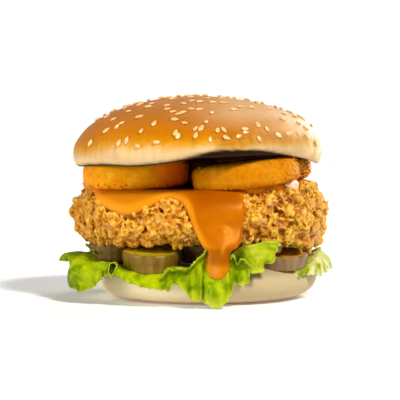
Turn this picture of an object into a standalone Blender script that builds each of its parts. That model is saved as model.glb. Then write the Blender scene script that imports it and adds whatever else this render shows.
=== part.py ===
"""A fried chicken burger: bun, lettuce, pickles, crumbed fillet, orange sauce and onion rings.

Metres, +Z up. The origin is on the heel's flat underside, on the burger's axis. The front, where
the sauce runs down, faces -Y. A bearing is an angle round the axis in degrees: 0 at the front, 90 on
the right (+X), 180 at the back and -90 on the left.
"""

import math

import bmesh
import bpy
from mathutils import Vector, noise

MM = 0.001
GAP = 0.3 * MM  # left between pieces that touch

# Heel: the bun's lower half.
HEEL_RADIUS = 50.3 * MM
HEEL_HEIGHT = 15.2 * MM
HEEL_FOOT = 34.0 * MM  # radius of the flat underside
HEEL_CUT = 38.0 * MM  # radius of the flat cut face on top
HEEL_WIDEST = 10.5 * MM  # height of the widest ring
HEEL_SHIFT = 2.5 * MM  # the heel sits a little to the right of the axis
HEEL_STEPS = 36

# Fillet: a flat slab with a round edge, its crust left to the noise below.
FILLET_HALF_WIDTH = 58.8 * MM
FILLET_HALF_DEPTH = 49.0 * MM
FILLET_SQUARENESS = 2.3  # 2 is an ellipse in plan
FILLET_SHIFT = -0.3 * MM
FILLET_MIDDLE = 37.2 * MM
FILLET_HALF = 10.4 * MM  # half the thickness
FILLET_QUARTER = FILLET_HALF * math.pi / 2  # from where the round edge starts to the widest line
FILLET_SWELL = 2.0 * MM  # how much thicker each half is at the two ends
FILLET_CROWDING = 1.5  # above 1 draws the cage's rows towards the round edge
FILLET_CUTS = 11
CRUST_RELIEF = 1.3 * MM
CRUST_GRAIN = 9.0 * MM

# Sauce: a sheet on the fillet, with tongues that run over its edge.
SAUCE_DEPTH = 1.2 * MM
SAUCE_ROOT = 1.0 * MM  # how far the sheet starts inside the fillet before it is cut clear
SAUCE_BULB = 2.0 * MM  # how much thicker the long drip is than the sheet
SAUCE_STANDOFF = 4.4 * MM  # how far out the long drip hangs, over the front leaf
SAUCE_FOLLOW = 0.3  # share of the crust's relief that shows through the sheet
SAUCE_RAMP_START = 8.0 * MM  # the sheet thickens to the right of this, under the tilted rings
SAUCE_DRIP = (8.0, 5.5)  # bearing of the long drip's middle, and its half-width in degrees
SAUCE_ROWS = (0.55, 0.85)  # shares of the way out to the round edge
SAUCE_EDGE_ROWS = 8  # more rows from there to the margin
SAUCE_COLUMNS = ((-9.7, 24.3, 20), (24.3, 100.3, 7), (100.3, 302.3, 17), (302.3, 350.3, 9))
# The sheet's margin: (bearing, how far it reaches past the start of the fillet's round edge, in mm).
SAUCE_MARGIN = (
    (-180, 15.0), (-168, 5.0), (-150, 4.0), (-128, 9.5), (-108, 3.5), (-85, 2.8), (-68, 2.6),
    (-56, 4.0), (-47, 9.0), (-38, 12.5), (-30, 9.5), (-21, 3.8), (-12, 3.2), (-8, 5.0),
    (-5.8, 9.7), (-3.4, 14.5), (-1.4, 18.8), (0, 23.0), (2, 27.5), (3, 33.0), (4.2, 38.0),
    (6, 40.8), (8, 41.6), (10.5, 40.6), (12.7, 37.5), (13.9, 33.0), (15, 29.0), (18, 26.5),
    (20, 22.5), (21.2, 16.0), (22.2, 8.0), (23.6, 3.0), (40, 2.5), (75, 3.0), (104, 3.5),
    (118, 11.0), (132, 4.0), (152, 3.5), (164, 8.0), (173, 17.0),
)

# Onion rings: (name, x, y, outer radius, thickness, height of the underside, tilt in degrees).
RING_HOLE = 6.0 * MM
RING_BOTTOM = 49.3 * MM
RING_TILT = 5.0
RING_SQUARENESS = 2.5  # 2 is a round section
RING_MAJOR_STEPS = 22
RING_MINOR_STEPS = 9
ONION_RINGS = (
    ("onion_ring_left", -28.6 * MM, -12.5 * MM, 23.6 * MM, 12.3 * MM, 0.0, 0.0),
    ("onion_ring_right", 20.0 * MM, -23.0 * MM, 23.8 * MM, 12.5 * MM, 1.2 * MM, RING_TILT),
    ("onion_ring_back_right", 31.6 * MM, 19.8 * MM, 20.2 * MM, 10.6 * MM, 2.2 * MM, RING_TILT),
    ("onion_ring_back_left", -9.0 * MM, 28.5 * MM, 21.0 * MM, 12.8 * MM, 0.2 * MM, 0.0),
)

# Crown: the bun's upper half.
CROWN_RADIUS = 56.3 * MM
CROWN_DOME = 23.4 * MM  # from the widest ring to the top
CROWN_WIDEST = 3.6 * MM  # from the cut face up to the widest ring
CROWN_FULLNESS = 1.92  # 2 is an ellipse, less is leaner at the shoulder
CROWN_LIP = 8.0 * MM  # radial size of the round lower lip
CROWN_CUT = 63.9 * MM  # height of the cut face at the axis
CROWN_SHIFT = -1.1 * MM
CROWN_TILT = (0.040, 0.012)  # slope of the cut face along X and Y
CROWN_STEPS = 36
# How far the lower lip hangs below the cut face: (bearing, mm).
CROWN_DROOP = (
    (-180, 4.5), (-120, 4.0), (-80, 3.8), (-45, 3.8), (-20, 2.8), (0, 1.5), (25, 1.9), (50, 3.8),
    (80, 8.4), (98, 7.2), (122, 2.6), (136, 2.8), (152, 4.5),
)

# Pickles: (name, x, y, radius, thickness, height of the underside's middle, forward tilt in degrees).
PICKLE_BEVEL = 0.7 * MM
PICKLE_SIDES = 16
PICKLES = (
    ("pickle_left", -37.6 * MM, -17.0 * MM, 11.4 * MM, 8.0 * MM, 17.6 * MM, 0.0),
    ("pickle_front", -20.5 * MM, -36.6 * MM, 12.8 * MM, 8.2 * MM, 16.6 * MM, 6.0),
    ("pickle_middle", 2.5 * MM, -25.0 * MM, 11.3 * MM, 8.7 * MM, 17.4 * MM, 0.0),
    ("pickle_right", 36.5 * MM, -23.0 * MM, 12.4 * MM, 6.0 * MM, 15.7 * MM, 0.0),
    ("pickle_upper_right", 24.8 * MM, -31.6 * MM, 11.0 * MM, 4.2 * MM, 22.0 * MM, 0.0),
    ("pickle_back_left", -24.0 * MM, 29.0 * MM, 12.2 * MM, 8.6 * MM, 17.4 * MM, 0.0),
    ("pickle_back_right", 21.0 * MM, 30.0 * MM, 12.6 * MM, 8.7 * MM, 17.4 * MM, 0.0),
)

# Lettuce: each leaf is a sheet swept along a path in the upright plane of its bearing.
# (name, bearing, half-span in degrees, path through (radius, height) in mm, waves, wave depth in mm,
# share of its length that it loses at its two sides)
LEAF_THICKNESS = 0.7 * MM
LEAF_COLUMNS_PER_WAVE = 5
LEAF_ROWS = 5
ON_HEEL = ((6, 15.9), (28, 15.9), (46, 15.8))
TO_FRONT = ((6, 15.9), (27, 16.3))
LEAVES = (
    ("lettuce_left", -62, 23, (*ON_HEEL, (55, 16.5), (58.5, 23), (60, 19), (61, 7)), 2.0, 1.4, 0.15),
    ("lettuce_front_left", -29, 9, (*ON_HEEL[:2], (45, 15.2), (53, 12.5), (54.5, 7)), 2.0, 0.5, 0.2),
    ("lettuce_front", 1.5, 15.5, (*TO_FRONT, (48, 16.9), (51, 23), (52.8, 14), (56, 1)), 2.0, 0.7, 0.25),
    ("lettuce_front_right", 27, 9, (*TO_FRONT, (50, 17), (53.3, 25.5), (55, 20), (56, 9)), 1.5, 0.6, 0.2),
    ("lettuce_right", 98, 17, (*ON_HEEL, (53, 17), (56.5, 21.5), (60, 12)), 1.5, 1.6, 0.2),
    ("lettuce_back_right", 146, 27, (*ON_HEEL, (53, 17.5), (57, 24.5), (60, 7)), 2.0, 2.0, 0.15),
    ("lettuce_back_left", -134, 38, (*ON_HEEL, (53, 17.5), (56.5, 24), (59.5, 5)), 3.0, 2.0, 0.1),
)

COLOURS = {
    "bun_crust": (0.78, 0.43, 0.16),
    "bun_pale": (0.85, 0.70, 0.46),
    "crumb_coating": (0.72, 0.36, 0.09),
    "ring_coating": (0.80, 0.36, 0.05),
    "orange_sauce": (0.82, 0.25, 0.02),
    "pickle_green": (0.24, 0.20, 0.05),
    "lettuce_green": (0.32, 0.47, 0.03),
}


def smooth_step(low, high, value):
    share = min(1.0, max(0.0, (value - low) / (high - low)))
    return share * share * (3 - 2 * share)


def ramp(count):
    """count + 1 even shares from 0 to 1."""
    return [index / count for index in range(count + 1)]


def around(bearing, radius, height):
    """The point at a bearing in degrees, a distance from the axis and a height."""
    turn = math.radians(bearing)
    return Vector((radius * math.sin(turn), -radius * math.cos(turn), height))


def bearing_of(point):
    return math.degrees(math.atan2(point.x, -point.y))


def turn_between(first, second):
    """The signed angle from one bearing to another, within half a turn."""
    return (second - first + 180) % 360 - 180


def round_table(table, bearing):
    """The value at a bearing on a smooth curve through (bearing, value) rows that run right round."""
    bearing = (bearing + 180) % 360 - 180
    rows = [(start - 360, value) for start, value in table[-2:]]
    rows += [*table, *((start + 360, value) for start, value in table[:2])]
    index = next(i for i in range(1, len(rows)) if rows[i][0] <= bearing < rows[i + 1][0])
    before, start, end, after = rows[index - 1 : index + 3]
    width = end[0] - start[0]
    share = (bearing - start[0]) / width
    slope_in = (end[1] - before[1]) / (end[0] - before[0]) * width
    slope_out = (after[1] - start[1]) / (after[0] - start[0]) * width
    rise = end[1] - start[1]
    curve = (3 * rise - 2 * slope_in - slope_out) + (slope_in + slope_out - 2 * rise) * share
    return start[1] + (slope_in + curve * share) * share


# ---------------------------------------------------------------- scene and mesh helpers


def clear_scene():
    for obj in list(bpy.data.objects):
        bpy.data.objects.remove(obj, do_unlink=True)


def new_collection(name):
    collection = bpy.data.collections.new(name)
    bpy.context.scene.collection.children.link(collection)
    return collection


def material(name, roughness):
    made = bpy.data.materials.get(name) or bpy.data.materials.new(name)
    made.use_nodes = True
    shader = made.node_tree.nodes["Principled BSDF"]
    shader.inputs["Base Color"].default_value = (*COLOURS[name], 1.0)
    shader.inputs["Roughness"].default_value = roughness
    shader.inputs["Metallic"].default_value = 0.0
    return made


def add_object(name, mesh, collection, finish=None):
    obj = bpy.data.objects.new(name, mesh)
    collection.objects.link(obj)
    if finish:
        mesh.materials.clear()
        mesh.materials.append(finish)
        mesh.shade_smooth()
    return obj


def mesh_from_bmesh(name, cage):
    mesh = bpy.data.meshes.new(name)
    cage.to_mesh(mesh)
    cage.free()
    return mesh


def applied_mesh(obj):
    """The object's mesh with its modifiers applied. The object itself is removed."""
    graph = bpy.context.evaluated_depsgraph_get()
    mesh = bpy.data.meshes.new_from_object(obj.evaluated_get(graph))
    bpy.data.objects.remove(obj)
    return mesh


def move_vertices(mesh, place):
    for vertex in mesh.vertices:
        vertex.co = place(vertex.co.copy())


def turned_mesh(name, profile, steps, collection):
    """A closed turned shape from (radius, height) points that run from the top down the outer side."""
    outline = bpy.data.meshes.new(name)
    edges = [(index, index + 1) for index in range(len(profile) - 1)]
    outline.from_pydata([(radius, 0.0, height) for radius, height in profile], edges, [])
    obj = add_object(name, outline, collection)
    screw = obj.modifiers.new("turn", "SCREW")
    screw.steps = steps
    screw.render_steps = steps
    screw.use_merge_vertices = True
    screw.merge_threshold = 0.00001
    bpy.context.view_layer.update()
    return applied_mesh(obj)


def round_corner(start, end, steps, squareness=2.0):
    """Points along a bulging quarter turn from start to end, both (radius, height). It starts upright."""
    power = 2.0 / squareness
    points = []
    for share in ramp(steps):
        turn = share * math.pi / 2
        radius = end[0] + (start[0] - end[0]) * math.cos(turn) ** power
        height = start[1] + (end[1] - start[1]) * math.sin(turn) ** power
        points.append((radius, height))
    return points


# ---------------------------------------------------------------- bun


def heel_profile():
    widest = (HEEL_RADIUS, HEEL_WIDEST)
    shoulder = round_corner(widest, (HEEL_CUT, HEEL_HEIGHT), 3)[::-1]
    belly = round_corner(widest, (HEEL_FOOT, 0.0), 5, squareness=2.3)[1:]
    return [(0.0, HEEL_HEIGHT)] + shoulder + belly + [(0.0, 0.0)]


def warp_heel(point):
    """Off centre, and a little uneven in plan like a torn and baked roll."""
    turn = math.radians(bearing_of(point))
    stretch = 1 + 0.010 * math.sin(2 * turn + 0.6) + 0.006 * math.sin(5 * turn)
    return Vector((point.x * stretch + HEEL_SHIFT, point.y * stretch, point.z))


def add_heel(collection):
    mesh = turned_mesh("bun_heel", heel_profile(), HEEL_STEPS, collection)
    move_vertices(mesh, warp_heel)
    add_object("bun_heel", mesh, collection, material("bun_pale", 0.7))


def crown_profile():
    widest = (CROWN_RADIUS, CROWN_WIDEST)
    dome = round_corner(widest, (0.0, CROWN_WIDEST + CROWN_DOME), 9, CROWN_FULLNESS)[::-1]
    lip = round_corner(widest, (CROWN_RADIUS - CROWN_LIP, 0.0), 4)[1:]
    return dome + lip + [(0.0, 0.0)]


def warp_crown(point):
    bearing = bearing_of(point)
    turn = math.radians(bearing)
    reach = math.hypot(point.x, point.y) / CROWN_RADIUS
    height_share = point.z / (CROWN_WIDEST + CROWN_DOME)
    hang = round_table(CROWN_DROOP, bearing) * MM * smooth_step(0.87, 0.97, reach)
    hang *= 1 - 0.85 * smooth_step(0.0, 0.25, height_share)
    ripple = 0.4 * MM * math.sin(7 * turn + 1.0) * smooth_step(0.9, 1.0, reach) * (1 - height_share)
    stretch = 1 + 0.008 * math.sin(2 * turn - 0.5) + 0.005 * math.sin(3 * turn + 1.2)
    lean = (CROWN_TILT[0] * point.x + CROWN_TILT[1] * point.y) * (1 - 0.9 * height_share)
    return Vector(
        (
            point.x * stretch + CROWN_SHIFT,
            point.y * stretch,
            point.z + CROWN_CUT + lean - hang + ripple,
        )
    )


def add_crown(collection):
    mesh = turned_mesh("bun_crown", crown_profile(), CROWN_STEPS, collection)
    move_vertices(mesh, warp_crown)
    add_object("bun_crown", mesh, collection, material("bun_crust", 0.45))


# ---------------------------------------------------------------- fillet


def fillet_radius(bearing):
    turn = math.radians(bearing)
    across = abs(math.sin(turn) / FILLET_HALF_WIDTH) ** FILLET_SQUARENESS
    along = abs(math.cos(turn) / FILLET_HALF_DEPTH) ** FILLET_SQUARENESS
    wobble = 1 + 0.012 * math.sin(3 * turn + 0.4) + 0.010 * math.sin(5 * turn + 2.0)
    return wobble / (across + along) ** (1 / FILLET_SQUARENESS)


def fillet_half(bearing, reach):
    """Half the thickness at a share of the way out to the edge. The two ends swell."""
    across = math.sin(math.radians(bearing))
    swell = 0.2 + 0.8 * across**2 + 0.6 * max(0.0, across) ** 3
    return FILLET_HALF + FILLET_SWELL * swell * smooth_step(0.78, 1.0, reach)


def fillet_edge_start(bearing):
    """How far from the axis the round edge starts."""
    return fillet_radius(bearing) - FILLET_HALF


def fillet_form(bearing, distance, side=1):
    """The smooth slab's surface, a distance out along its face. side is 1 above and -1 below.

    Past the slab's widest line the surface falls away from it, as a drip does.
    """
    start = fillet_edge_start(bearing)
    turn = min(1.0, max(0.0, (distance - start) / FILLET_QUARTER)) * math.pi / 2
    radius = min(distance, start) + FILLET_HALF * math.sin(turn)
    half = fillet_half(bearing, radius / fillet_radius(bearing))
    fall = max(0.0, distance - start - FILLET_QUARTER)
    height = FILLET_MIDDLE + side * half * math.cos(turn) - fall
    point = around(bearing, radius + SAUCE_STANDOFF * smooth_step(0.0, 14 * MM, fall), height)
    point.x += FILLET_SHIFT
    return point


def fillet_outward(bearing, distance):
    """The direction out of the slab's upper face at that place."""
    turn = (distance - fillet_edge_start(bearing)) / FILLET_HALF
    turn = min(math.pi / 2, max(0.0, turn))
    return around(bearing, math.sin(turn), math.cos(turn))


def crust_relief(point, outward):
    """How far the crust's lumps stand out. They fade on the flat faces, where other layers press."""
    edge_share = 0.12 + 0.88 * smooth_step(0.2, 0.9, math.hypot(outward.x, outward.y))
    grain = noise.fractal(point / CRUST_GRAIN, 0.9, 2.0, 3)
    return CRUST_RELIEF * edge_share * max(-1.0, min(1.0, 1.4 * grain))


def fillet_surface(bearing, distance, side=1):
    """(point, outward direction) of the crust."""
    outward = fillet_outward(bearing, distance)
    outward.z *= side
    point = fillet_form(bearing, distance, side)
    return point + outward * crust_relief(point, outward), outward


def ball_cage(cuts):
    """A ball of quads, made from a cube with each edge cut that many times."""
    cage = bmesh.new()
    bmesh.ops.create_cube(cage, size=2.0)
    bmesh.ops.subdivide_edges(cage, edges=cage.edges[:], cuts=cuts, use_grid_fill=True)
    for vertex in cage.verts:
        vertex.co.normalize()
    return cage


def place_on_fillet(direction):
    """The crust's point for a direction from the ball's middle."""
    polar = math.acos(max(-1.0, min(1.0, abs(direction.z)))) / (math.pi / 2)
    bearing = bearing_of(direction)
    full = fillet_edge_start(bearing) + FILLET_QUARTER
    distance = full * (1 - (1 - polar) ** FILLET_CROWDING)
    return fillet_surface(bearing, distance, 1 if direction.z >= 0 else -1)[0]


def add_fillet(collection):
    mesh = mesh_from_bmesh("chicken_fillet", ball_cage(FILLET_CUTS))
    move_vertices(mesh, place_on_fillet)
    return add_object("chicken_fillet", mesh, collection, material("crumb_coating", 0.7))


# ---------------------------------------------------------------- sauce


def sauce_skin(bearing, distance):
    """(place on the crust, place on the sauce's inner face, place on its outer face)."""
    form = fillet_form(bearing, distance)
    outward = fillet_outward(bearing, distance)
    past_edge = distance - fillet_edge_start(bearing)
    on_top = 1 - smooth_step(0.0, 0.6 * FILLET_HALF, past_edge)
    ramped = math.tan(math.radians(RING_TILT)) * max(0.0, form.x - SAUCE_RAMP_START) * on_top
    low = smooth_step(0.8 * FILLET_QUARTER, 2 * FILLET_QUARTER, past_edge)
    in_drip = math.exp(-((turn_between(SAUCE_DRIP[0], bearing) / SAUCE_DRIP[1]) ** 4))
    root = SAUCE_ROOT * (1 - smooth_step(FILLET_QUARTER, 1.5 * FILLET_QUARTER, past_edge))
    depth = SAUCE_DEPTH + ramped + SAUCE_BULB * in_drip * low
    crust = form + outward * crust_relief(form, outward) * SAUCE_FOLLOW
    return crust, crust - outward * root, crust + outward * depth


def sauce_bearings():
    """Columns round the sheet: close together where the drip runs, wide apart elsewhere."""
    bearings = []
    for start, end, count in SAUCE_COLUMNS:
        bearings += [start + (end - start) * index / count for index in range(count)]
    return bearings


def sauce_column(bearing):
    """One column's (rim, inner points, outer points), from near the axis out to the rim."""
    start = fillet_edge_start(bearing)
    run = round_table(SAUCE_MARGIN, bearing) * MM
    distances = [start * share for share in SAUCE_ROWS]
    distances += [start + run * share for share in ramp(SAUCE_EDGE_ROWS)[:-1]]
    rim = sauce_skin(bearing, start + run)[0]
    inner, outer = [], []
    for distance in distances:
        crust, inside, outside = sauce_skin(bearing, distance)
        rounding = math.sqrt(1 - max(0.0, (distance - start) / run) ** 4)
        inner.append(crust.lerp(inside, rounding))
        outer.append(crust.lerp(outside, rounding))
    return rim, inner, outer


def sauce_cage():
    """Outer and inner sheets that meet at the rim. Each column runs out from the axis."""
    cage = bmesh.new()
    columns = [sauce_column(bearing) for bearing in sauce_bearings()]
    rims = [cage.verts.new(rim) for rim, _, _ in columns]
    for side in (1, 2):
        rows = [[cage.verts.new(point) for point in column[side]] for column in columns]
        middle = cage.verts.new(sauce_skin(0.0, 0.0)[side])
        for index, strip in enumerate(rows):
            after = (index + 1) % len(rows)
            ladder = [*zip(strip, rows[after]), (rims[index], rims[after])]
            cage.faces.new((middle, *ladder[0]))
            for (a, b), (c, d) in zip(ladder, ladder[1:]):
                cage.faces.new((a, c, d, b))
    bmesh.ops.recalc_face_normals(cage, faces=cage.faces[:])
    return cage


def keep_largest_body(mesh):
    """Drops the loose crumbs that a cut can leave beside the main body."""
    cage = bmesh.new()
    cage.from_mesh(mesh)
    left = set(cage.verts)
    bodies = []
    while left:
        body = set()
        edge = {left.pop()}
        while edge:
            body |= edge
            edge = {link.other_vert(vert) for vert in edge for link in vert.link_edges} - body
        left -= body
        bodies.append(body)
    bodies.sort(key=len)
    for body in bodies[:-1]:
        bmesh.ops.delete(cage, geom=list(body), context="VERTS")
    cage.to_mesh(mesh)
    cage.free()


def add_sauce(fillet, collection, cutters):
    """The sheet, cut clear of the fillet by a copy of it that is a gap bigger all round."""
    copy = fillet.data.copy()
    shift = [normal.vector * GAP * 1.2 for normal in copy.vertex_normals]
    for vertex, step in zip(copy.vertices, shift):
        vertex.co += step
    cutter = add_object("fillet_cutter", copy, cutters)
    cutter.hide_render = True
    cutter.display_type = "WIRE"
    sheet = add_object("sauce_sheet", mesh_from_bmesh("sauce", sauce_cage()), collection)
    cut = sheet.modifiers.new("clear_of_fillet", "BOOLEAN")
    cut.operation = "DIFFERENCE"
    cut.object = cutter
    bpy.context.view_layer.update()
    mesh = applied_mesh(sheet)
    keep_largest_body(mesh)
    add_object("sauce", mesh, collection, material("orange_sauce", 0.2))


# ---------------------------------------------------------------- onion rings


def ring_section(mesh, outer, thickness):
    """Reshapes a torus into a breaded ring: a wide, square-shouldered section with a small hole."""
    band = (outer - RING_HOLE) / 2
    middle = RING_HOLE + band
    power = 2.0 / RING_SQUARENESS

    def place(point):
        radius = math.hypot(point.x, point.y)
        across, up = radius / middle - 1, point.z / middle
        size = math.hypot(across, up)
        wide = math.copysign(abs(across / size) ** power, across)
        tall = math.copysign(abs(up / size) ** power, up)
        turn = math.atan2(point.y, point.x)
        uneven = 1 + 0.02 * math.sin(2 * turn + 40 * outer / MM) + 0.012 * math.sin(5 * turn)
        new_radius = middle + band * wide * uneven
        scale = new_radius / radius
        return Vector((point.x * scale, point.y * scale, thickness / 2 * tall))

    move_vertices(mesh, place)


def add_onion_ring(name, x, y, outer, thickness, lift, tilt, collection):
    bpy.ops.mesh.primitive_torus_add(
        major_radius=(outer + RING_HOLE) / 2,
        minor_radius=(outer - RING_HOLE) / 4,
        major_segments=RING_MAJOR_STEPS,
        minor_segments=RING_MINOR_STEPS,
    )
    torus = bpy.context.object
    mesh = torus.data.copy()
    bpy.data.objects.remove(torus)
    ring_section(mesh, outer, thickness)
    obj = add_object(name, mesh, collection, material("ring_coating", 0.65))
    obj.location = (x, y, RING_BOTTOM + lift + thickness / 2)
    obj.rotation_euler.y = -math.radians(tilt)


# ---------------------------------------------------------------- pickles and lettuce


def add_pickle(name, x, y, radius, thickness, floor, tilt, collection):
    bpy.ops.mesh.primitive_cylinder_add(vertices=PICKLE_SIDES, radius=radius, depth=thickness)
    cylinder = bpy.context.object
    mesh = cylinder.data.copy()
    bpy.data.objects.remove(cylinder)

    def uneven(point):
        turn = math.atan2(point.y, point.x)
        swell = 1 + 0.025 * math.sin(3 * turn + 50 * x / MM) - 0.03 * (point.z < 0)
        return Vector((point.x * swell, point.y * swell, point.z))

    move_vertices(mesh, uneven)
    obj = add_object(name, mesh, collection, material("pickle_green", 0.3))
    obj.location = (x, y, floor + thickness / 2)
    obj.rotation_euler.x = math.radians(tilt)
    edge = obj.modifiers.new("soft_edge", "BEVEL")
    edge.width = PICKLE_BEVEL
    edge.segments = 1


def path_point(points, share):
    """The (radius, height) at a share of the way along a smooth path through points given in mm."""
    place = share * (len(points) - 1)
    index = min(int(place), len(points) - 2)
    part = place - index
    before, start, end, after = (
        Vector(points[min(max(index + step, 0), len(points) - 1)]) for step in (-1, 0, 1, 2)
    )
    curve = 2 * start + (end - before) * part
    curve += (2 * before - 5 * start + 4 * end - after) * part**2
    curve += (3 * start - before - 3 * end + after) * part**3
    return curve / 2 * MM


def add_leaf(name, bearing, half_span, path, waves, wave_depth, taper, collection):
    """A grid swept along the path, with waves that grow towards the margin, then thickened."""
    columns = round(LEAF_COLUMNS_PER_WAVE * waves)
    cage = bmesh.new()
    bmesh.ops.create_grid(cage, x_segments=columns, y_segments=LEAF_ROWS, size=1.0)
    for vertex in cage.verts:
        across, share = vertex.co.x, (vertex.co.y + 1) / 2
        swing = waves * math.pi * across + 0.5
        length = 1 - taper * across**2 + 0.05 * math.cos(swing)
        radius, height = path_point(path, share * length)
        ruffle = wave_depth * MM * share**3
        turn = bearing + half_span * across * (0.85 + 0.15 * share)
        vertex.co = around(turn, radius + ruffle * math.sin(swing), height)
    bmesh.ops.recalc_face_normals(cage, faces=cage.faces[:])
    obj = add_object(name, mesh_from_bmesh(name, cage), collection, material("lettuce_green", 0.45))
    sheet = obj.modifiers.new("thickness", "SOLIDIFY")
    sheet.thickness = LEAF_THICKNESS
    sheet.offset = 0.0


def main():
    clear_scene()
    burger = new_collection("chicken_burger")
    cutters = new_collection("cutters")
    add_heel(burger)
    for leaf in LEAVES:
        add_leaf(*leaf, burger)
    for pickle in PICKLES:
        add_pickle(*pickle, burger)
    fillet = add_fillet(burger)
    add_sauce(fillet, burger, cutters)
    for onion_ring in ONION_RINGS:
        add_onion_ring(*onion_ring, burger)
    add_crown(burger)


main()
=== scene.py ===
"""Looks for the chicken burger: its crust, sauce, lettuce, pickles, onion rings, bun and seeds.

Lengths in this file are in millimetres until a mesh is made. The front faces -Y, and a bearing is an
angle round the axis in degrees: 0 at the front, 90 on the right (+X) and -90 on the left.
"""

import itertools
import math

import bmesh
import bpy
import numpy as np
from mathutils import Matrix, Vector
from mathutils.bvhtree import BVHTree


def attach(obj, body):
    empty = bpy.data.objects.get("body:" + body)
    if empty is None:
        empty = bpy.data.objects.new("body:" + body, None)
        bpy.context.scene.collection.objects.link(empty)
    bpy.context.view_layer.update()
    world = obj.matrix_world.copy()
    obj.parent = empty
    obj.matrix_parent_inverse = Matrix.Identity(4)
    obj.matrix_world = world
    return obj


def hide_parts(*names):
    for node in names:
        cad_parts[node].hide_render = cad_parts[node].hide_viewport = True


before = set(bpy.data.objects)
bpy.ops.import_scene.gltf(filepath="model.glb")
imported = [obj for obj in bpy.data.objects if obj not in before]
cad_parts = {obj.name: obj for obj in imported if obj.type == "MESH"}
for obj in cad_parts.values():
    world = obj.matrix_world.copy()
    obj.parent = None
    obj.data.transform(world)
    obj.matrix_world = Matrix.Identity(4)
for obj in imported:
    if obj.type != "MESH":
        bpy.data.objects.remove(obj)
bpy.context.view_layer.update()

MM = 0.001
rng = np.random.default_rng(11)


# ---------------------------------------------------------------- numbers


def smooth_step(low, high, value):
    share = np.clip((value - low) / (high - low), 0.0, 1.0)
    return share * share * (3 - 2 * share)


def around(bearing, radius, height):
    turn = np.radians(bearing)
    parts = np.broadcast_arrays(radius * np.sin(turn), -radius * np.cos(turn), height)
    return np.stack(parts, axis=-1).astype(float)


def bearing_of(points):
    return np.degrees(np.arctan2(points[..., 0], -points[..., 1]))


def turn_between(first, second):
    return (second - first + 180) % 360 - 180


def round_table(table, bearing):
    """The value at each bearing on a smooth closed curve through (bearing, value) rows."""
    rows = np.array(table, float)
    rows = np.concatenate([rows[-2:] - (360, 0), rows, rows[:2] + (360, 0)])
    slopes = (rows[2:, 1] - rows[:-2, 1]) / (rows[2:, 0] - rows[:-2, 0])
    bearing = (np.asarray(bearing, float) + 180) % 360 - 180
    index = np.clip(np.searchsorted(rows[:, 0], bearing, side="right") - 1, 1, len(rows) - 3)
    width = rows[index + 1, 0] - rows[index, 0]
    share = (bearing - rows[index, 0]) / width
    slope_in = slopes[index - 1] * width
    slope_out = slopes[index] * width
    rise = rows[index + 1, 1] - rows[index, 1]
    curve = (3 * rise - 2 * slope_in - slope_out) + (slope_in + slope_out - 2 * rise) * share
    return rows[index, 1] + (slope_in + curve * share) * share


def lattice(cell, seed):
    """A repeatable number from 0 to 1 for each cell of a whole-number lattice."""
    mixed = cell[..., 0] * 73856093 ^ cell[..., 1] * 19349663 ^ cell[..., 2] * 83492791
    mixed = (mixed ^ (seed * 2654435761 + 974634777)) & 0xFFFFFFFF
    for factor in (2246822519, 3266489917):
        mixed = ((mixed ^ (mixed >> 15)) * factor) & 0xFFFFFFFF
    return (mixed ^ (mixed >> 16)) / 4294967296.0


def soft_noise(points, size, seed=0):
    """Smooth noise from about -1 to 1, with features about size across."""
    place = np.asarray(points, float) / size
    cell = np.floor(place).astype(np.int64)
    part = place - cell
    fade = part**3 * (part * (6 * part - 15) + 10)
    total = np.zeros(len(place))
    for corner in itertools.product((0, 1), repeat=3):
        at = cell + corner
        weight = np.prod(np.where(corner, fade, 1 - fade), axis=1)
        slope = np.stack([lattice(at, 3 * seed + axis) for axis in range(3)], axis=1) * 2 - 1
        total += weight * np.einsum("ij,ij->i", slope, part - corner)
    return total * 1.6


def fractal(points, size, octaves=3, seed=0, rough=0.5):
    total, reach = 0.0, 0.0
    for octave in range(octaves):
        share = rough**octave
        total = total + share * soft_noise(points, size / 2**octave, seed + 7 * octave)
        reach += share
    return total / reach


def cells(points, size, seed=0):
    """Distances to the nearest and second nearest of scattered points, in cells of that size."""
    place = np.asarray(points, float) / size
    cell = np.floor(place).astype(np.int64)
    near = np.full(len(place), 9.0)
    second = near.copy()
    for step in itertools.product((-1, 0, 1), repeat=3):
        at = cell + step
        seat = at + np.stack([lattice(at, 3 * seed + axis) for axis in range(3)], axis=1)
        gap = np.linalg.norm(place - seat, axis=1)
        second = np.minimum(second, np.maximum(near, gap))
        near = np.minimum(near, gap)
    return near, second


# ---------------------------------------------------------------- meshes


def grid_faces(rows, columns, wrap=False):
    """Quads of a grid whose points run row by row."""
    row, column = np.mgrid[0 : rows - 1, 0 : columns - (0 if wrap else 1)]
    after = (column + 1) % columns
    corners = (row * columns + column, row * columns + after)
    corners += ((row + 1) * columns + after, (row + 1) * columns + column)
    return np.stack(corners, axis=-1).reshape(-1, 4)


def new_mesh(name, points, faces):
    """A mesh from points in millimetres and an array of faces of one kind."""
    mesh = bpy.data.meshes.new(name)
    mesh.vertices.add(len(points))
    mesh.vertices.foreach_set("co", (np.asarray(points) * MM).astype(np.float32).ravel())
    mesh.loops.add(faces.size)
    mesh.loops.foreach_set("vertex_index", faces.astype(np.int32).ravel())
    mesh.polygons.add(len(faces))
    mesh.polygons.foreach_set("loop_start", np.arange(0, faces.size, faces.shape[1], dtype=np.int32))
    mesh.update(calc_edges=True)
    mesh.validate()
    return mesh


def new_object(name, mesh):
    obj = bpy.data.objects.new(name, mesh)
    bpy.context.scene.collection.objects.link(obj)
    return obj


def coords(mesh):
    flat = np.empty(len(mesh.vertices) * 3, np.float32)
    mesh.vertices.foreach_get("co", flat)
    return flat.reshape(-1, 3).astype(float) / MM


def set_coords(mesh, points):
    mesh.vertices.foreach_set("co", (points * MM).astype(np.float32).ravel())
    mesh.update()


def normals(mesh):
    flat = np.empty(len(mesh.vertices) * 3, np.float32)
    mesh.vertex_normals.foreach_get("vector", flat)
    return flat.reshape(-1, 3).astype(float)


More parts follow.
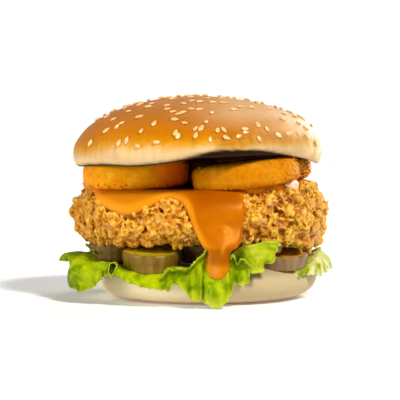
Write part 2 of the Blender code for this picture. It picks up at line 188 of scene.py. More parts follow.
def set_values(mesh, name, values):
    """Keeps one number per point, for the materials."""
    layer = mesh.attributes.get(name) or mesh.attributes.new(name, "FLOAT", "POINT")
    layer.data.foreach_set("value", np.asarray(values, np.float32))


def edge_pairs(mesh):
    flat = np.empty(len(mesh.edges) * 2, np.int32)
    mesh.edges.foreach_get("vertices", flat)
    return flat.reshape(-1, 2)


def relax(values, pairs, rounds, strength=0.5):
    """Each point's values moved towards its neighbours' mean, a number of times."""
    count = len(values)
    links = np.bincount(pairs.ravel(), minlength=count).astype(float)
    links = np.maximum(links, 1.0)
    flat = values.reshape(count, -1)
    for _ in range(rounds):
        total = np.empty_like(flat)
        for axis in range(flat.shape[1]):
            column = flat[:, axis]
            total[:, axis] = np.bincount(pairs[:, 0], column[pairs[:, 1]], count)
            total[:, axis] += np.bincount(pairs[:, 1], column[pairs[:, 0]], count)
        flat = flat + strength * (total / links[:, None] - flat)
    return flat.reshape(values.shape)


def weld(mesh, distance=0.002):
    cage = bmesh.new()
    cage.from_mesh(mesh)
    bmesh.ops.remove_doubles(cage, verts=cage.verts[:], dist=distance * MM)
    bmesh.ops.recalc_face_normals(cage, faces=cage.faces[:])
    cage.to_mesh(mesh)
    cage.free()


def applied(obj):
    """The object's mesh with its modifiers applied. The object goes."""
    bpy.context.view_layer.update()
    graph = bpy.context.evaluated_depsgraph_get()
    mesh = bpy.data.meshes.new_from_object(obj.evaluated_get(graph))
    name = obj.name
    bpy.data.objects.remove(obj)
    mesh.name = name
    return mesh


def fused(name, mesh, voxel):
    """One skin round everything in the mesh, on a voxel grid of that size in millimetres."""
    obj = new_object(name, mesh)
    remesh = obj.modifiers.new("fuse", "REMESH")
    remesh.mode = "VOXEL"
    remesh.voxel_size = voxel * MM
    return applied(obj)


def thinned(mesh, triangles):
    """The mesh with fewer triangles, where it has more than that."""
    now = sum(len(face.vertices) - 2 for face in mesh.polygons)
    if now <= triangles:
        return mesh
    obj = new_object(mesh.name, mesh)
    fewer = obj.modifiers.new("fewer", "DECIMATE")
    fewer.ratio = triangles / now
    return applied(obj)


def joined(parts):
    """(points, faces) of several (points, faces), all of one kind of face."""
    points, faces, start = [], [], 0
    for some_points, some_faces in parts:
        points.append(some_points)
        faces.append(some_faces + start)
        start += len(some_points)
    return np.concatenate(points), np.concatenate(faces)


def piece(name, mesh, material, slot, *nodes):
    """A finished piece of the burger, which stands for the CAD nodes named."""
    mesh.materials.clear()
    mesh.materials.append(material)
    mesh.shade_smooth()
    obj = new_object(name, mesh)
    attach(obj, "root")
    if nodes:
        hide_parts(*nodes)
    return obj


def ball(subdivisions):
    """(points, faces) of a ball of triangles of radius 1."""
    cage = bmesh.new()
    bmesh.ops.create_icosphere(cage, subdivisions=subdivisions, radius=1.0)
    points = np.array([vertex.co for vertex in cage.verts])
    faces = np.array([[vertex.index for vertex in face.verts] for face in cage.faces])
    cage.free()
    return points, faces


def spins(count):
    """That many random turns, as 3 by 3 matrices."""
    quaternion = rng.normal(size=(count, 4))
    quaternion /= np.linalg.norm(quaternion, axis=1, keepdims=True)
    w, x, y, z = quaternion.T
    rows = (
        (1 - 2 * (y * y + z * z), 2 * (x * y - z * w), 2 * (x * z + y * w)),
        (2 * (x * y + z * w), 1 - 2 * (x * x + z * z), 2 * (y * z - x * w)),
        (2 * (x * z - y * w), 2 * (y * z + x * w), 1 - 2 * (x * x + y * y)),
    )
    return np.moveaxis(np.array([[cell for cell in row] for row in rows]), -1, 0)


def lumps(centres, radii, detail=2, jag=0.18, flat=(0.65, 1.3)):
    """Uneven lumps: balls that are stretched, dented and turned at random."""
    points, faces = ball(detail)
    count = len(centres)
    stretch = rng.uniform(flat[0], flat[1], size=(count, 1, 3))
    dent = 1 + jag * rng.normal(size=(count, len(points), 1)).clip(-1.8, 1.8)
    shape = points[None] * dent * stretch * np.asarray(radii)[:, None, None]
    shape = np.einsum("nij,nkj->nki", spins(count), shape) + np.asarray(centres)[:, None]
    offsets = (np.arange(count) * len(points))[:, None, None]
    return shape.reshape(-1, 3), (faces[None] + offsets).reshape(-1, 3)


# ---------------------------------------------------------------- materials


class Look:
    """Builds one material's nodes."""

    def __init__(self, name):
        self.material = bpy.data.materials.new(name)
        self.material.use_nodes = True
        self.tree = self.material.node_tree
        self.shader = self.tree.nodes["Principled BSDF"]
        self.place = self.tree.nodes.new("ShaderNodeTexCoord").outputs["Object"]

    def join(self, source, target):
        self.tree.links.new(source, target)

    def put(self, socket, value):
        if isinstance(value, bpy.types.NodeSocket):
            self.join(value, socket)
        elif isinstance(value, tuple) and len(value) == 3 and len(socket.default_value) == 4:
            socket.default_value = (*value, 1.0)
        else:
            socket.default_value = value

    def setting(self, **values):
        for name, value in values.items():
            self.put(self.shader.inputs[name.replace("_", " ")], value)

    def noise(self, size, detail=3.0, rough=0.5, warp=0.0, place=None):
        """Noise from 0 to 1, with features about size millimetres across."""
        node = self.tree.nodes.new("ShaderNodeTexNoise")
        node.inputs["Scale"].default_value = 1 / (size * MM)
        node.inputs["Detail"].default_value = detail
        node.inputs["Roughness"].default_value = rough
        node.inputs["Distortion"].default_value = warp
        self.join(place or self.place, node.inputs["Vector"])
        return node.outputs["Fac"]

    def cells(self, size, feature="F1", spread=1.0, place=None):
        node = self.tree.nodes.new("ShaderNodeTexVoronoi")
        node.feature = feature
        node.inputs["Scale"].default_value = 1 / (size * MM)
        node.inputs["Randomness"].default_value = spread
        self.join(place or self.place, node.inputs["Vector"])
        return node.outputs["Distance"]

    def stretched(self, scale):
        """Places scaled along each axis, for drawn-out patterns."""
        node = self.tree.nodes.new("ShaderNodeMapping")
        node.inputs["Scale"].default_value = scale
        self.join(self.place, node.inputs["Vector"])
        return node.outputs["Vector"]

    def value(self, name):
        node = self.tree.nodes.new("ShaderNodeAttribute")
        node.attribute_name = name
        return node.outputs["Fac"]

    def math(self, kind, first, second=0.0, clamp=False):
        node = self.tree.nodes.new("ShaderNodeMath")
        node.operation = kind
        node.use_clamp = clamp
        self.put(node.inputs[0], first)
        self.put(node.inputs[1], second)
        return node.outputs[0]

    def span(self, value, low, high, new_low=0.0, new_high=1.0):
        node = self.tree.nodes.new("ShaderNodeMapRange")
        self.put(node.inputs["Value"], value)
        node.inputs["From Min"].default_value = low
        node.inputs["From Max"].default_value = high
        node.inputs["To Min"].default_value = new_low
        node.inputs["To Max"].default_value = new_high
        return node.outputs["Result"]

    def ramp(self, value, *stops):
        """A colour from (place, colour) stops."""
        node = self.tree.nodes.new("ShaderNodeValToRGB")
        elements = node.color_ramp.elements
        while len(elements) < len(stops):
            elements.new(0.5)
        for element, (place, colour) in zip(elements, stops):
            element.position = place
            element.color = (*colour, 1.0)
        self.put(node.inputs["Fac"], value)
        return node.outputs["Color"]

    def mix(self, share, first, second, kind="MIX"):
        node = self.tree.nodes.new("ShaderNodeMix")
        node.data_type = "RGBA"
        node.blend_type = kind
        self.put(node.inputs["Factor"], share)
        self.put(node.inputs["A"] if False else node.inputs[6], first)
        self.put(node.inputs[7], second)
        return node.outputs[2]

    def bump(self, height, distance, strength=1.0, under=None):
        """A normal from a height of 0 to 1 that stands distance millimetres."""
        node = self.tree.nodes.new("ShaderNodeBump")
        node.inputs["Strength"].default_value = strength
        node.inputs["Distance"].default_value = distance * MM
        self.put(node.inputs["Height"], height)
        if under:
            self.join(under, node.inputs["Normal"])
        self.join(node.outputs["Normal"], self.shader.inputs["Normal"])
        return node.outputs["Normal"]


def srgb(red, green, blue):
    """A linear colour from the 0 to 255 values that a paint chart gives."""
    parts = []
    for part in (red, green, blue):
        part /= 255
        parts.append(part / 12.92 if part <= 0.04045 else ((part + 0.055) / 1.055) ** 2.4)
    return tuple(parts)


def glazed_bun():
    look = Look("glazed_bun")
    patch = look.noise(18, 2)
    baked = look.math("ADD", look.value("baked"), look.span(patch, 0.3, 0.7, -0.07, 0.07))
    fine = look.noise(1.6, 4, 0.6)
    baked = look.math("ADD", baked, look.span(fine, 0.3, 0.7, -0.02, 0.02))
    streaks = look.noise(2.4, 3, 0.6, 0.5, look.stretched((1.0, 1.0, 0.3)))
    baked = look.math("ADD", baked, look.span(streaks, 0.3, 0.7, -0.03, 0.03))
    colour = look.ramp(
        baked,
        (0.00, srgb(232, 200, 152)),
        (0.16, srgb(234, 194, 132)),
        (0.30, srgb(228, 160, 52)),
        (0.43, srgb(210, 132, 2)),
        (0.58, srgb(198, 114, 0)),
        (0.76, srgb(188, 112, 26)),
        # The top stop is pinker and lighter than the brown below it: a painted sheen on the dome's top.
        (1.00, srgb(206, 136, 76)),
    )
    # Painted highlight: the crown's upper right and its lower right side are painted paler, where they catch the light.
    pale = look.value("pale")
    colour = look.mix(look.math("MULTIPLY", pale, 0.7), colour, srgb(230, 184, 126))
    # This multiply is painted shade on the crown's lower front right and in its creases.
    colour = look.mix(look.value("shade"), colour, (0.72, 0.71, 0.67), "MULTIPLY")
    # Painted shade: the underside and the inside of the lip are near black and matt.
    colour = look.mix(look.value("under"), colour, srgb(34, 14, 4))
    rough = look.math("ADD", 0.4, look.math("MULTIPLY", look.value("under"), 0.6))
    look.setting(Base_Color=colour, Roughness=rough, Specular_IOR_Level=0.22)
    look.setting(Specular_Tint=(1.0, 0.62, 0.2), Subsurface_Weight=0.04)
    look.setting(Subsurface_Radius=(1.0, 0.5, 0.2), Subsurface_Scale=0.002)
    look.setting(Sheen_Weight=0.08, Sheen_Roughness=0.35, Sheen_Tint=(1.0, 0.8, 0.62))
    skin = look.math("ADD", look.math("MULTIPLY", look.noise(2.4, 5, 0.6), 0.6), look.math("MULTIPLY", fine, 0.4))
    look.bump(skin, 0.22, 0.8)
    return look.material


def bun_crumb(name, colours):
    """The bun's pale side: matte, faintly blotched, with fine pores."""
    look = Look(name)
    patch = look.noise(14, 3, 0.55)
    colour = look.ramp(patch, (0.3, colours[0]), (0.52, colours[1]), (0.72, colours[2]))
    # Painted shade on the heel's front right.
    colour = look.mix(look.value("shade"), colour, srgb(192, 171, 127))
    colour = look.mix(look.value("edge"), colour, srgb(196, 140, 78))
    pores = look.noise(0.9, 4, 0.65)
    colour = look.mix(look.span(pores, 0.55, 0.75, 0.0, 0.22), colour, srgb(214, 180, 118))
    look.setting(Base_Color=colour, Roughness=0.78, Subsurface_Weight=0.12)
    look.setting(Subsurface_Radius=(1.0, 0.6, 0.3), Subsurface_Scale=0.003)
    look.bump(look.math("ADD", look.math("MULTIPLY", pores, 0.5), look.noise(4.0, 3)), 0.3, 0.7)
    return look.material


def fried_crust():
    look = Look("fried_crust")
    # This value paints shade in the crust's crevices and highlights on its tips, from deep brown to pale gold.
    cavity = look.value("cavity")
    fine = look.noise(0.75, 4, 0.7)
    level = look.math("ADD", cavity, look.span(fine, 0.3, 0.7, -0.22, 0.22))
    colour = look.ramp(
        level,
        (0.02, srgb(96, 42, 0)),
        (0.22, srgb(160, 82, 0)),
        (0.44, srgb(200, 122, 14)),
        (0.66, srgb(218, 146, 30)),
        (0.96, srgb(246, 196, 80)),
    )
    patch = look.noise(6.0, 3, 0.6, 0.6)
    colour = look.mix(look.span(patch, 0.50, 0.66, 0.0, 0.6), colour, srgb(186, 92, 16))
    other = look.noise(4.5, 2, 0.5, 0.4, look.stretched((1.0, 1.3, 1.7)))
    colour = look.mix(look.span(other, 0.54, 0.70, 0.0, 0.45), colour, srgb(226, 172, 66))
    colour = look.mix(look.value("pink"), colour, srgb(206, 140, 98))
    colour = look.mix(look.value("gold"), colour, srgb(222, 172, 62))
    look.setting(Base_Color=colour, Roughness=0.5, Specular_IOR_Level=0.2)
    look.setting(Specular_Tint=(1.0, 0.75, 0.4), Subsurface_Weight=0.05, Subsurface_Scale=0.001)
    crumbs = look.math("ADD", look.math("MULTIPLY", look.noise(0.9, 3, 0.7), 0.6), look.math("MULTIPLY", fine, 0.5))
    look.bump(crumbs, 0.55, 1.0)
    return look.material


def onion_coat():
    look = Look("onion_coat")
    grain = look.value("grain")
    fine = look.noise(0.55, 3, 0.6)
    patch = look.noise(9.0, 3, 0.5)
    level = look.math("ADD", grain, look.span(fine, 0.3, 0.7, -0.05, 0.05))
    level = look.math("ADD", level, look.span(patch, 0.3, 0.7, -0.16, 0.16))
    mottle = look.noise(2.2, 3, 0.55, 0.5)
    level = look.math("ADD", level, look.span(mottle, 0.3, 0.7, -0.14, 0.14))
    colour = look.ramp(
        level,
        (0.05, srgb(196, 100, 0)),
        (0.30, srgb(232, 138, 0)),
        (0.60, srgb(244, 158, 4)),
        (0.95, srgb(252, 190, 56)),
    )
    # Painted shade on the front right ring, most of all under the crown.
    colour = look.mix(look.value("shade"), colour, (0.72, 0.68, 0.68), "MULTIPLY")
    # Browner top and bottom edges: partly browning batter, partly painted shade. On the crumbs it is browning at
    # random.
    colour = look.mix(look.value("browned"), colour, srgb(188, 86, 0))
    # Painted light: the left ring's shaded right end is lifted to a brighter, redder orange.
    colour = look.mix(look.value("red"), colour, srgb(255, 118, 0))
    look.setting(Base_Color=colour, Roughness=0.5, Specular_IOR_Level=0.12, Specular_Tint=(1.0, 0.7, 0.3))
    look.setting(Subsurface_Weight=0.08, Subsurface_Scale=0.002)
    look.bump(look.math("ADD", look.math("MULTIPLY", fine, 0.4), mottle), 0.3, 0.7)
    return look.material


def orange_sauce():
    look = Look("orange_sauce")
    patch = look.noise(11, 2, 0.5)
    colour = look.ramp(patch, (0.35, srgb(182, 90, 0)), (0.65, srgb(194, 104, 0)))
    # Painted shade on the flow under the right onion ring.
    colour = look.mix(look.value("deep"), colour, srgb(164, 74, 0))
    # Painted light on the flow's left margin, the left lobe and the drip.
    colour = look.mix(look.value("rim"), colour, srgb(228, 142, 18))
    colour = look.mix(look.value("thin"), colour, srgb(150, 78, 0))
    # Painted light on the sauce under the right onion ring.
    colour = look.mix(look.value("bright"), colour, srgb(255, 168, 30))
    look.setting(Base_Color=colour, Roughness=0.34, Specular_IOR_Level=0.3)
    look.setting(Coat_Weight=look.value("wet"), Coat_Roughness=0.1)
    look.setting(Specular_Tint=(1.0, 0.5, 0.06), Subsurface_Weight=0.12, Subsurface_Scale=0.003)
    look.setting(Subsurface_Radius=(1.0, 0.4, 0.05))
    look.bump(look.noise(3.5, 2), 0.12, 0.5)
    return look.material


def gherkin(name, skin, flesh, spots):
    """Green-brown skin on the side, flesh with seed marks on the cut faces."""
    look = Look(name)
    streaks = look.noise(2.2, 3, 0.6, 0.3, look.stretched((1.0, 1.0, 0.18)))
    side = look.ramp(streaks, (0.3, skin[0]), (0.5, skin[1]), (0.7, skin[2]))
    blots = look.noise(3.0, 3, 0.6)
    face = look.ramp(blots, (0.3, flesh[0]), (0.5, flesh[1]), (0.72, flesh[2]))
    seeds = look.span(look.cells(2.6, "F1"), 0.16, 0.28, 1.0, 0.0)
    face = look.mix(look.math("MULTIPLY", seeds, look.value("core")), face, spots)
    colour = look.mix(look.value("face"), side, face)
    # Painted shade on slices that lie under the crust.
    colour = look.mix(look.value("shade"), colour, (0.62, 0.58, 0.30), "MULTIPLY")
    look.setting(Base_Color=colour, Roughness=0.34, Coat_Weight=0.1, Coat_Roughness=0.12)
    look.setting(Specular_IOR_Level=0.3, Specular_Tint=(1.0, 0.85, 0.5), Subsurface_Weight=0.15, Subsurface_Scale=0.003, Subsurface_Radius=(0.8, 0.6, 0.15))
    look.bump(look.math("ADD", streaks, look.math("MULTIPLY", blots, 0.5)), 0.22, 0.5)
    return look.material


def leaf_green(name, deep, middle, light, rim):
    look = Look(name)
    veins = look.value("vein")
    patch = look.noise(7.0, 3, 0.55, 0.4)
    colour = look.ramp(patch, (0.38, deep), (0.5, middle), (0.62, light))
    colour = look.mix(look.value("rim"), colour, rim)
    colour = look.mix(look.math("MULTIPLY", veins, 0.6), colour, light)
    # Painted shade in the leaf's folds.
    colour = look.mix(look.value("valley"), colour, (0.36, 0.46, 0.04), "MULTIPLY")
    look.setting(Base_Color=colour, Roughness=0.42, Specular_IOR_Level=0.1, Specular_Tint=(0.9, 1.0, 0.5))
    blister = look.math("ADD", look.noise(2.6, 3, 0.5), look.math("MULTIPLY", veins, 0.7))
    look.bump(blister, 0.5, 0.8)
    through = look.tree.nodes.new("ShaderNodeBsdfTranslucent")
    look.join(colour, through.inputs["Color"])
    blend = look.tree.nodes.new("ShaderNodeMixShader")
    blend.inputs[0].default_value = 0.3
    look.join(look.shader.outputs[0], blend.inputs[1])
    look.join(through.outputs[0], blend.inputs[2])
    look.join(blend.outputs[0], look.tree.nodes["Material Output"].inputs["Surface"])
    return look.material


def sesame():
    look = Look("sesame")
    patch = look.noise(2.0, 2)
    colour = look.ramp(patch, (0.3, srgb(226, 170, 92)), (0.55, srgb(240, 200, 130)), (0.75, srgb(248, 220, 164)))
    colour = look.mix(look.value("tip"), colour, srgb(206, 142, 70))
    look.setting(Base_Color=colour, Roughness=0.42, Subsurface_Weight=0.1, Subsurface_Scale=0.001)
    look.bump(look.noise(0.5, 2), 0.05, 0.5)
    return look.material


# ---------------------------------------------------------------- bun


def round_corner(start, end, steps, squareness=2.0):
    """Points along a bulging quarter turn from start to end, both (radius, height)."""
    turn = np.linspace(0, math.pi / 2, steps + 1)
    power = 2.0 / squareness
    radius = end[0] + (start[0] - end[0]) * np.cos(turn) ** power
    height = start[1] + (end[1] - start[1]) * np.sin(turn) ** power
    return np.stack([radius, height], axis=1)


def even_steps(path, count):
    """The path with count points, evenly spaced along it."""
    run = np.concatenate([[0], np.cumsum(np.linalg.norm(np.diff(path, axis=0), axis=1))])
    at = np.linspace(0, run[-1], count)
    return np.stack([np.interp(at, run, path[:, axis]) for axis in range(path.shape[1])], axis=1)


def turned(profile, steps):
    """(points, faces) of the shape that a (radius, height) profile makes turned round the axis."""
    bearing = np.arange(steps) * 360 / steps
    radius, height = profile[:, 0][:, None], profile[:, 1][:, None]
    points = around(bearing[None, :], radius, height)
    return points.reshape(-1, 3), grid_faces(len(profile), steps, wrap=True)


CROWN_RADIUS, CROWN_DOME, CROWN_WIDEST = 56.3, 23.4, 3.6
CROWN_CUT, CROWN_SHIFT, CROWN_TILT = 63.9, -1.1, (0.040, 0.012)
CROWN_DROOP = (
    (-180, 6.8), (-120, 5.0), (-80, 3.8), (-50, 3.6), (-32, 4.0), (-20, 3.4), (-6, 2.0), (8, -0.3),
    (25, -0.7), (42, 1.0), (58, 3.8), (80, 6.7), (98, 6.8), (122, 2.6), (136, 4.0), (152, 6.2),
)


def warp_crown(points):
    bearing = bearing_of(points)
    turn = np.radians(bearing)
    reach = np.hypot(points[:, 0], points[:, 1]) / CROWN_RADIUS
    share = points[:, 2] / (CROWN_WIDEST + CROWN_DOME)
    hang = round_table(CROWN_DROOP, bearing) * smooth_step(0.87, 0.97, reach)
    hang *= 1 - 0.85 * smooth_step(0.0, 0.25, share)
    ripple = 0.4 * np.sin(7 * turn + 1.0) * smooth_step(0.9, 1.0, reach) * (1 - share)
    stretch = 1 + 0.008 * np.sin(2 * turn - 0.5) + 0.005 * np.sin(3 * turn + 1.2)
    lean = (CROWN_TILT[0] * points[:, 0] + CROWN_TILT[1] * points[:, 1]) * (1 - 0.9 * share)
    x = points[:, 0] * stretch + CROWN_SHIFT
    return np.stack([x, points[:, 1] * stretch, points[:, 2] + CROWN_CUT + lean - hang + ripple], axis=1)


def make_crown():
    widest = (CROWN_RADIUS, CROWN_WIDEST)
    dome = round_corner(widest, (0.0, CROWN_WIDEST + CROWN_DOME), 60, 1.92)[::-1]
    lip = round_corner(widest, (CROWN_RADIUS - 8.0, 0.0), 24)[1:]
    outside = even_steps(np.concatenate([dome, lip]), 92)
    under = np.stack([np.linspace(CROWN_RADIUS - 8.0, 0.0, 26), np.zeros(26)], axis=1)[1:]
    flat_points, faces = turned(np.concatenate([outside, under]), 264)
    points = warp_crown(flat_points)
    reach = np.hypot(flat_points[:, 0], flat_points[:, 1]) / CROWN_RADIUS
    rise = flat_points[:, 2]
    below = np.repeat(np.arange(len(outside) + len(under)) >= len(outside), 264)
    outward = points - (CROWN_SHIFT, 0, CROWN_CUT + 2)
    outward /= np.linalg.norm(outward, axis=1, keepdims=True)
    dents = 0.35 * fractal(points, 22, 3, 3) + 0.10 * fractal(points, 5, 2, 4)
    bearing = bearing_of(points)
    # Fine creases that run down towards the rim, most of them at the front right.
    crease_zone = smooth_step(0.80, 0.93, reach) * smooth_step(14.0, 6.0, rise)
    crease_zone *= 0.35 + 0.65 * np.exp(-((turn_between(38, bearing) / 34) ** 2))
    along = np.stack([points[:, 0], points[:, 1], points[:, 2] * 0.22], axis=1)
    creases = 1 - np.abs(soft_noise(along, 4.2, 5)) * 2.4
    creases = crease_zone * np.clip(creases, 0, 1) ** 2
    dents -= 0.8 * creases
    dents[below] = 0.25 * fractal(points[below], 3, 3, 6)
    outward[below] = (0, 0, -1)
    points = points + outward * dents[:, None]
    mesh = new_mesh("bun_crown_look", points, faces)
    # The baking reaches further down at the front right than at the front left.
    reach_down = np.interp(points[:, 0], (-52, -46, -34, -18, -4, 9, 22, 40), (0.8, 0.2, -1.1, -0.9, 0.2, 1.5, 1.0, 0.3))
    # Painted shade: the lower front right of the crown, and its creases, are darkened.
    right_low = smooth_step(0, 14, points[:, 0]) * smooth_step(76, 71, points[:, 2])
    right_low *= 1 - 0.45 * smooth_step(36, 52, points[:, 0]) - 0.4 * smooth_step(2.5, -1.0, rise - CROWN_WIDEST)
    weld_values = {
        "shade": np.clip(0.12 + 0.75 * right_low * (points[:, 1] < 20) + 0.9 * creases, 0, 1),
        "baked": np.interp(
            rise - CROWN_WIDEST + reach_down + 1.1 * fractal(points, 14, 2, 8),
            (-6.0, -2.5, 0.0, 2.6, 6.0, 11.0, 18.0, 24.0),
            (0.0, 0.04, 0.15, 0.33, 0.50, 0.70, 0.88, 0.96),
        ),
        # Painted highlight: the upper right of the dome and the lower right side are painted paler, where they catch
        # the light.
        "pale": np.maximum(
            smooth_step(12, 42, points[:, 0]) * smooth_step(66, 76, points[:, 2]) * smooth_step(50, 5, points[:, 1]),
            smooth_step(-8, 20, points[:, 0] + 6 * fractal(points, 16, 2, 9))
            * smooth_step(73, 83, points[:, 2]) * smooth_step(42, -4, points[:, 1]),
        ),
    }
    weld_values["baked"][below] = 0.0
    # Painted shade: faces that look down, and the inside of the lip, are painted near black.
    facing = -normals(mesh)
    inward = -(facing[:, 0] * flat_points[:, 0] + facing[:, 1] * flat_points[:, 1]) / (CROWN_RADIUS * np.maximum(reach, 0.1))
    right_end = smooth_step(26, 42, points[:, 0]) * (points[:, 1] < 0)
    downward = smooth_step(0.0, 0.35, -facing[:, 2] - 0.5 - 0.33 * right_end)
    weld_values["under"] = np.maximum(downward, smooth_step(0.1, 0.35, inward) * (rise < 3))
    for name, values in weld_values.items():
        set_values(mesh, name, values)
    weld(mesh)
    return piece("bun_crown_look", mesh, glazed_bun(), "bun_crust", "bun_crown")


HEEL_RADIUS, HEEL_HEIGHT, HEEL_FOOT, HEEL_CUT, HEEL_WIDEST, HEEL_SHIFT = 50.3, 15.2, 34.0, 38.0, 10.5, 2.5


def make_heel():
    widest = (HEEL_RADIUS, HEEL_WIDEST)
    shoulder = round_corner(widest, (HEEL_CUT, HEEL_HEIGHT), 16)[::-1]
    belly = round_corner(widest, (HEEL_FOOT, 0.0), 40, 2.3)[1:]
    side = even_steps(np.concatenate([shoulder, belly]), 44)
    top = np.stack([np.linspace(0, HEEL_CUT, 16), np.full(16, HEEL_HEIGHT)], axis=1)[:-1]
    foot = np.stack([np.linspace(HEEL_FOOT, 0, 14), np.zeros(14)], axis=1)[1:]
    points, faces = turned(np.concatenate([top, side, foot]), 232)
    bearing = np.radians(bearing_of(points))
    stretch = 1 + 0.010 * np.sin(2 * bearing + 0.6) + 0.006 * np.sin(5 * bearing)
    rise = points[:, 2].copy()
    reach = np.hypot(points[:, 0], points[:, 1])
    points[:, 0] = points[:, 0] * stretch + HEEL_SHIFT
    points[:, 1] *= stretch
    outward = points * (1, 1, 0)
    outward /= np.maximum(np.linalg.norm(outward, axis=1, keepdims=True), 1e-6)
    swell = smooth_step(0.0, 3.0, rise) * smooth_step(34, 46, reach)
    long = np.stack([points[:, 0], points[:, 1], points[:, 2] * 1.8], axis=1)
    points += outward * (swell * (0.55 * fractal(points, 16, 3, 21) + 0.22 * fractal(long, 4.5, 2, 22)))[:, None]
    mesh = new_mesh("bun_heel_look", points, faces)
    set_values(mesh, "edge", 0.8 * smooth_step(2.2, 0.3, rise + 0.5 * fractal(points, 9, 2, 23)) * (reach > 30))
    # Painted shade: the front right of the heel is darkened.
    set_values(mesh, "shade", smooth_step(-6, 22, points[:, 0]) * smooth_step(10, -20, points[:, 1]))
    weld(mesh)
    material = bun_crumb("bun_heel_crumb", (srgb(244, 222, 178), srgb(250, 232, 190), srgb(254, 240, 206)))
    return piece("bun_heel_look", mesh, material, "bun_pale", "bun_heel")


# Seeds that show at the front: (x, height above the table, heading in degrees), then the rest at random.
FRONT_SEEDS = (
    (-47.6, 69.6, 75), (-40.4, 74.9, 60), (-35.6, 76.5, 70), (-33.6, 78.0, 35), (-34.4, 69.7, 85),
    (-31.0, 70.7, 80), (-31.0, 83.2, 20), (-26.0, 80.7, 45), (-24.8, 74.7, 80), (-26.2, 68.2, -20),
    (-22.4, 85.2, 30), (-21.0, 86.6, 20), (-19.4, 77.8, 85), (-18.0, 69.8, 0), (-14.2, 85.6, 5),
    (-13.8, 84.0, 0), (-11.4, 82.8, 20), (-10.6, 79.4, -15), (-10.2, 73.8, 80), (-9.1, 72.5, 75),
    (-9.0, 81.8, 10), (-7.4, 82.4, 25), (-6.4, 77.9, -20), (-6.9, 86.5, 5), (-3.8, 84.0, 5),
    (-3.3, 87.7, 0), (0.0, 83.8, 10), (0.2, 87.3, 0), (-1.9, 75.5, 60), (-1.7, 72.8, 80),
    (0.5, 75.7, 60), (2.6, 78.5, 80), (4.2, 71.2, 85), (5.1, 82.4, 80), (5.5, 87.1, 20),
    (7.4, 74.9, 75), (10.0, 74.9, -60), (10.4, 86.9, -10), (11.1, 71.7, -30), (14.5, 83.8, 5),
    (17.5, 85.1, 10), (16.2, 72.4, 20), (19.0, 75.4, 0), (19.3, 73.9, 5), (17.6, 88.4, 0),
    (22.4, 84.9, -55), (24.4, 77.3, 85), (24.9, 71.2, -75), (28.4, 75.3, -75), (33.4, 72.8, -40),
    (35.9, 79.8, -45), (37.2, 82.4, -30), (38.0, 73.8, 15), (42.2, 81.2, -40), (43.4, 78.2, -40),
    (46.6, 76.0, -50), (46.8, 72.0, -55), (51.0, 69.2, -80), (30.6, 84.6, -20), (-37.6, 79.8, 40),
)

# Seeds along the top of the dome: (x, y, heading in degrees).
TOP_SEEDS = (
    (-46.0, -6.0, 70), (-43.0, -1.0, 20), (-38.5, -5.0, 60), (-33.5, -7.0, 10), (-29.0, -3.0, 75),
    (-23.0, -5.5, 0), (-17.0, -2.0, 50), (-9.5, -4.5, 10), (-6.0, -8.0, 80), (-1.5, -3.5, 0),
    (3.0, -6.5, 40), (9.0, -4.0, 5), (12.5, -8.0, 0), (15.5, -3.5, 15), (21.0, -6.0, 70),
    (28.0, -5.0, 5), (34.0, -6.5, 0), (36.5, -2.0, 30), (41.0, -6.0, 10), (44.5, -3.5, 80),
    (46.5, -7.0, 0), (50.0, -4.5, 20),
)

# A few between those rows, seen almost edge on from the front: (x, y, heading in degrees).
UPPER_SEEDS = (
    (-41.0, -17.0, 60), (-33.0, -14.0, 20), (-26.5, -16.5, 75), (-18.5, -13.0, 10), (-12.0, -17.5, 50),
    (-4.0, -14.5, 0), (3.5, -18.5, 70), (10.0, -14.0, 20), (17.5, -17.5, -30), (25.5, -13.5, 60),
    (32.5, -17.5, 10), (40.5, -14.0, -20),
)


def seed_shape():
    """(points, faces, how near each point is to the tip) of one seed, 3 mm long, lying along X."""
    rows, columns = 11, 12
    share = np.linspace(0, 1, rows)
    x = -1.55 + 3.1 * share
    half = 0.98 * np.sin(np.pi * share) ** 0.62 * (1 - 0.5 * share**1.4)
    turn = np.arange(columns) * 2 * math.pi / columns
    y = half[:, None] * np.cos(turn)
    z = 0.62 * half[:, None] * np.sin(turn)
    points = np.stack([np.broadcast_to(x[:, None], y.shape), y, z], axis=-1).reshape(-1, 3)
    return points, grid_faces(rows, columns, wrap=True), np.repeat(share, columns)


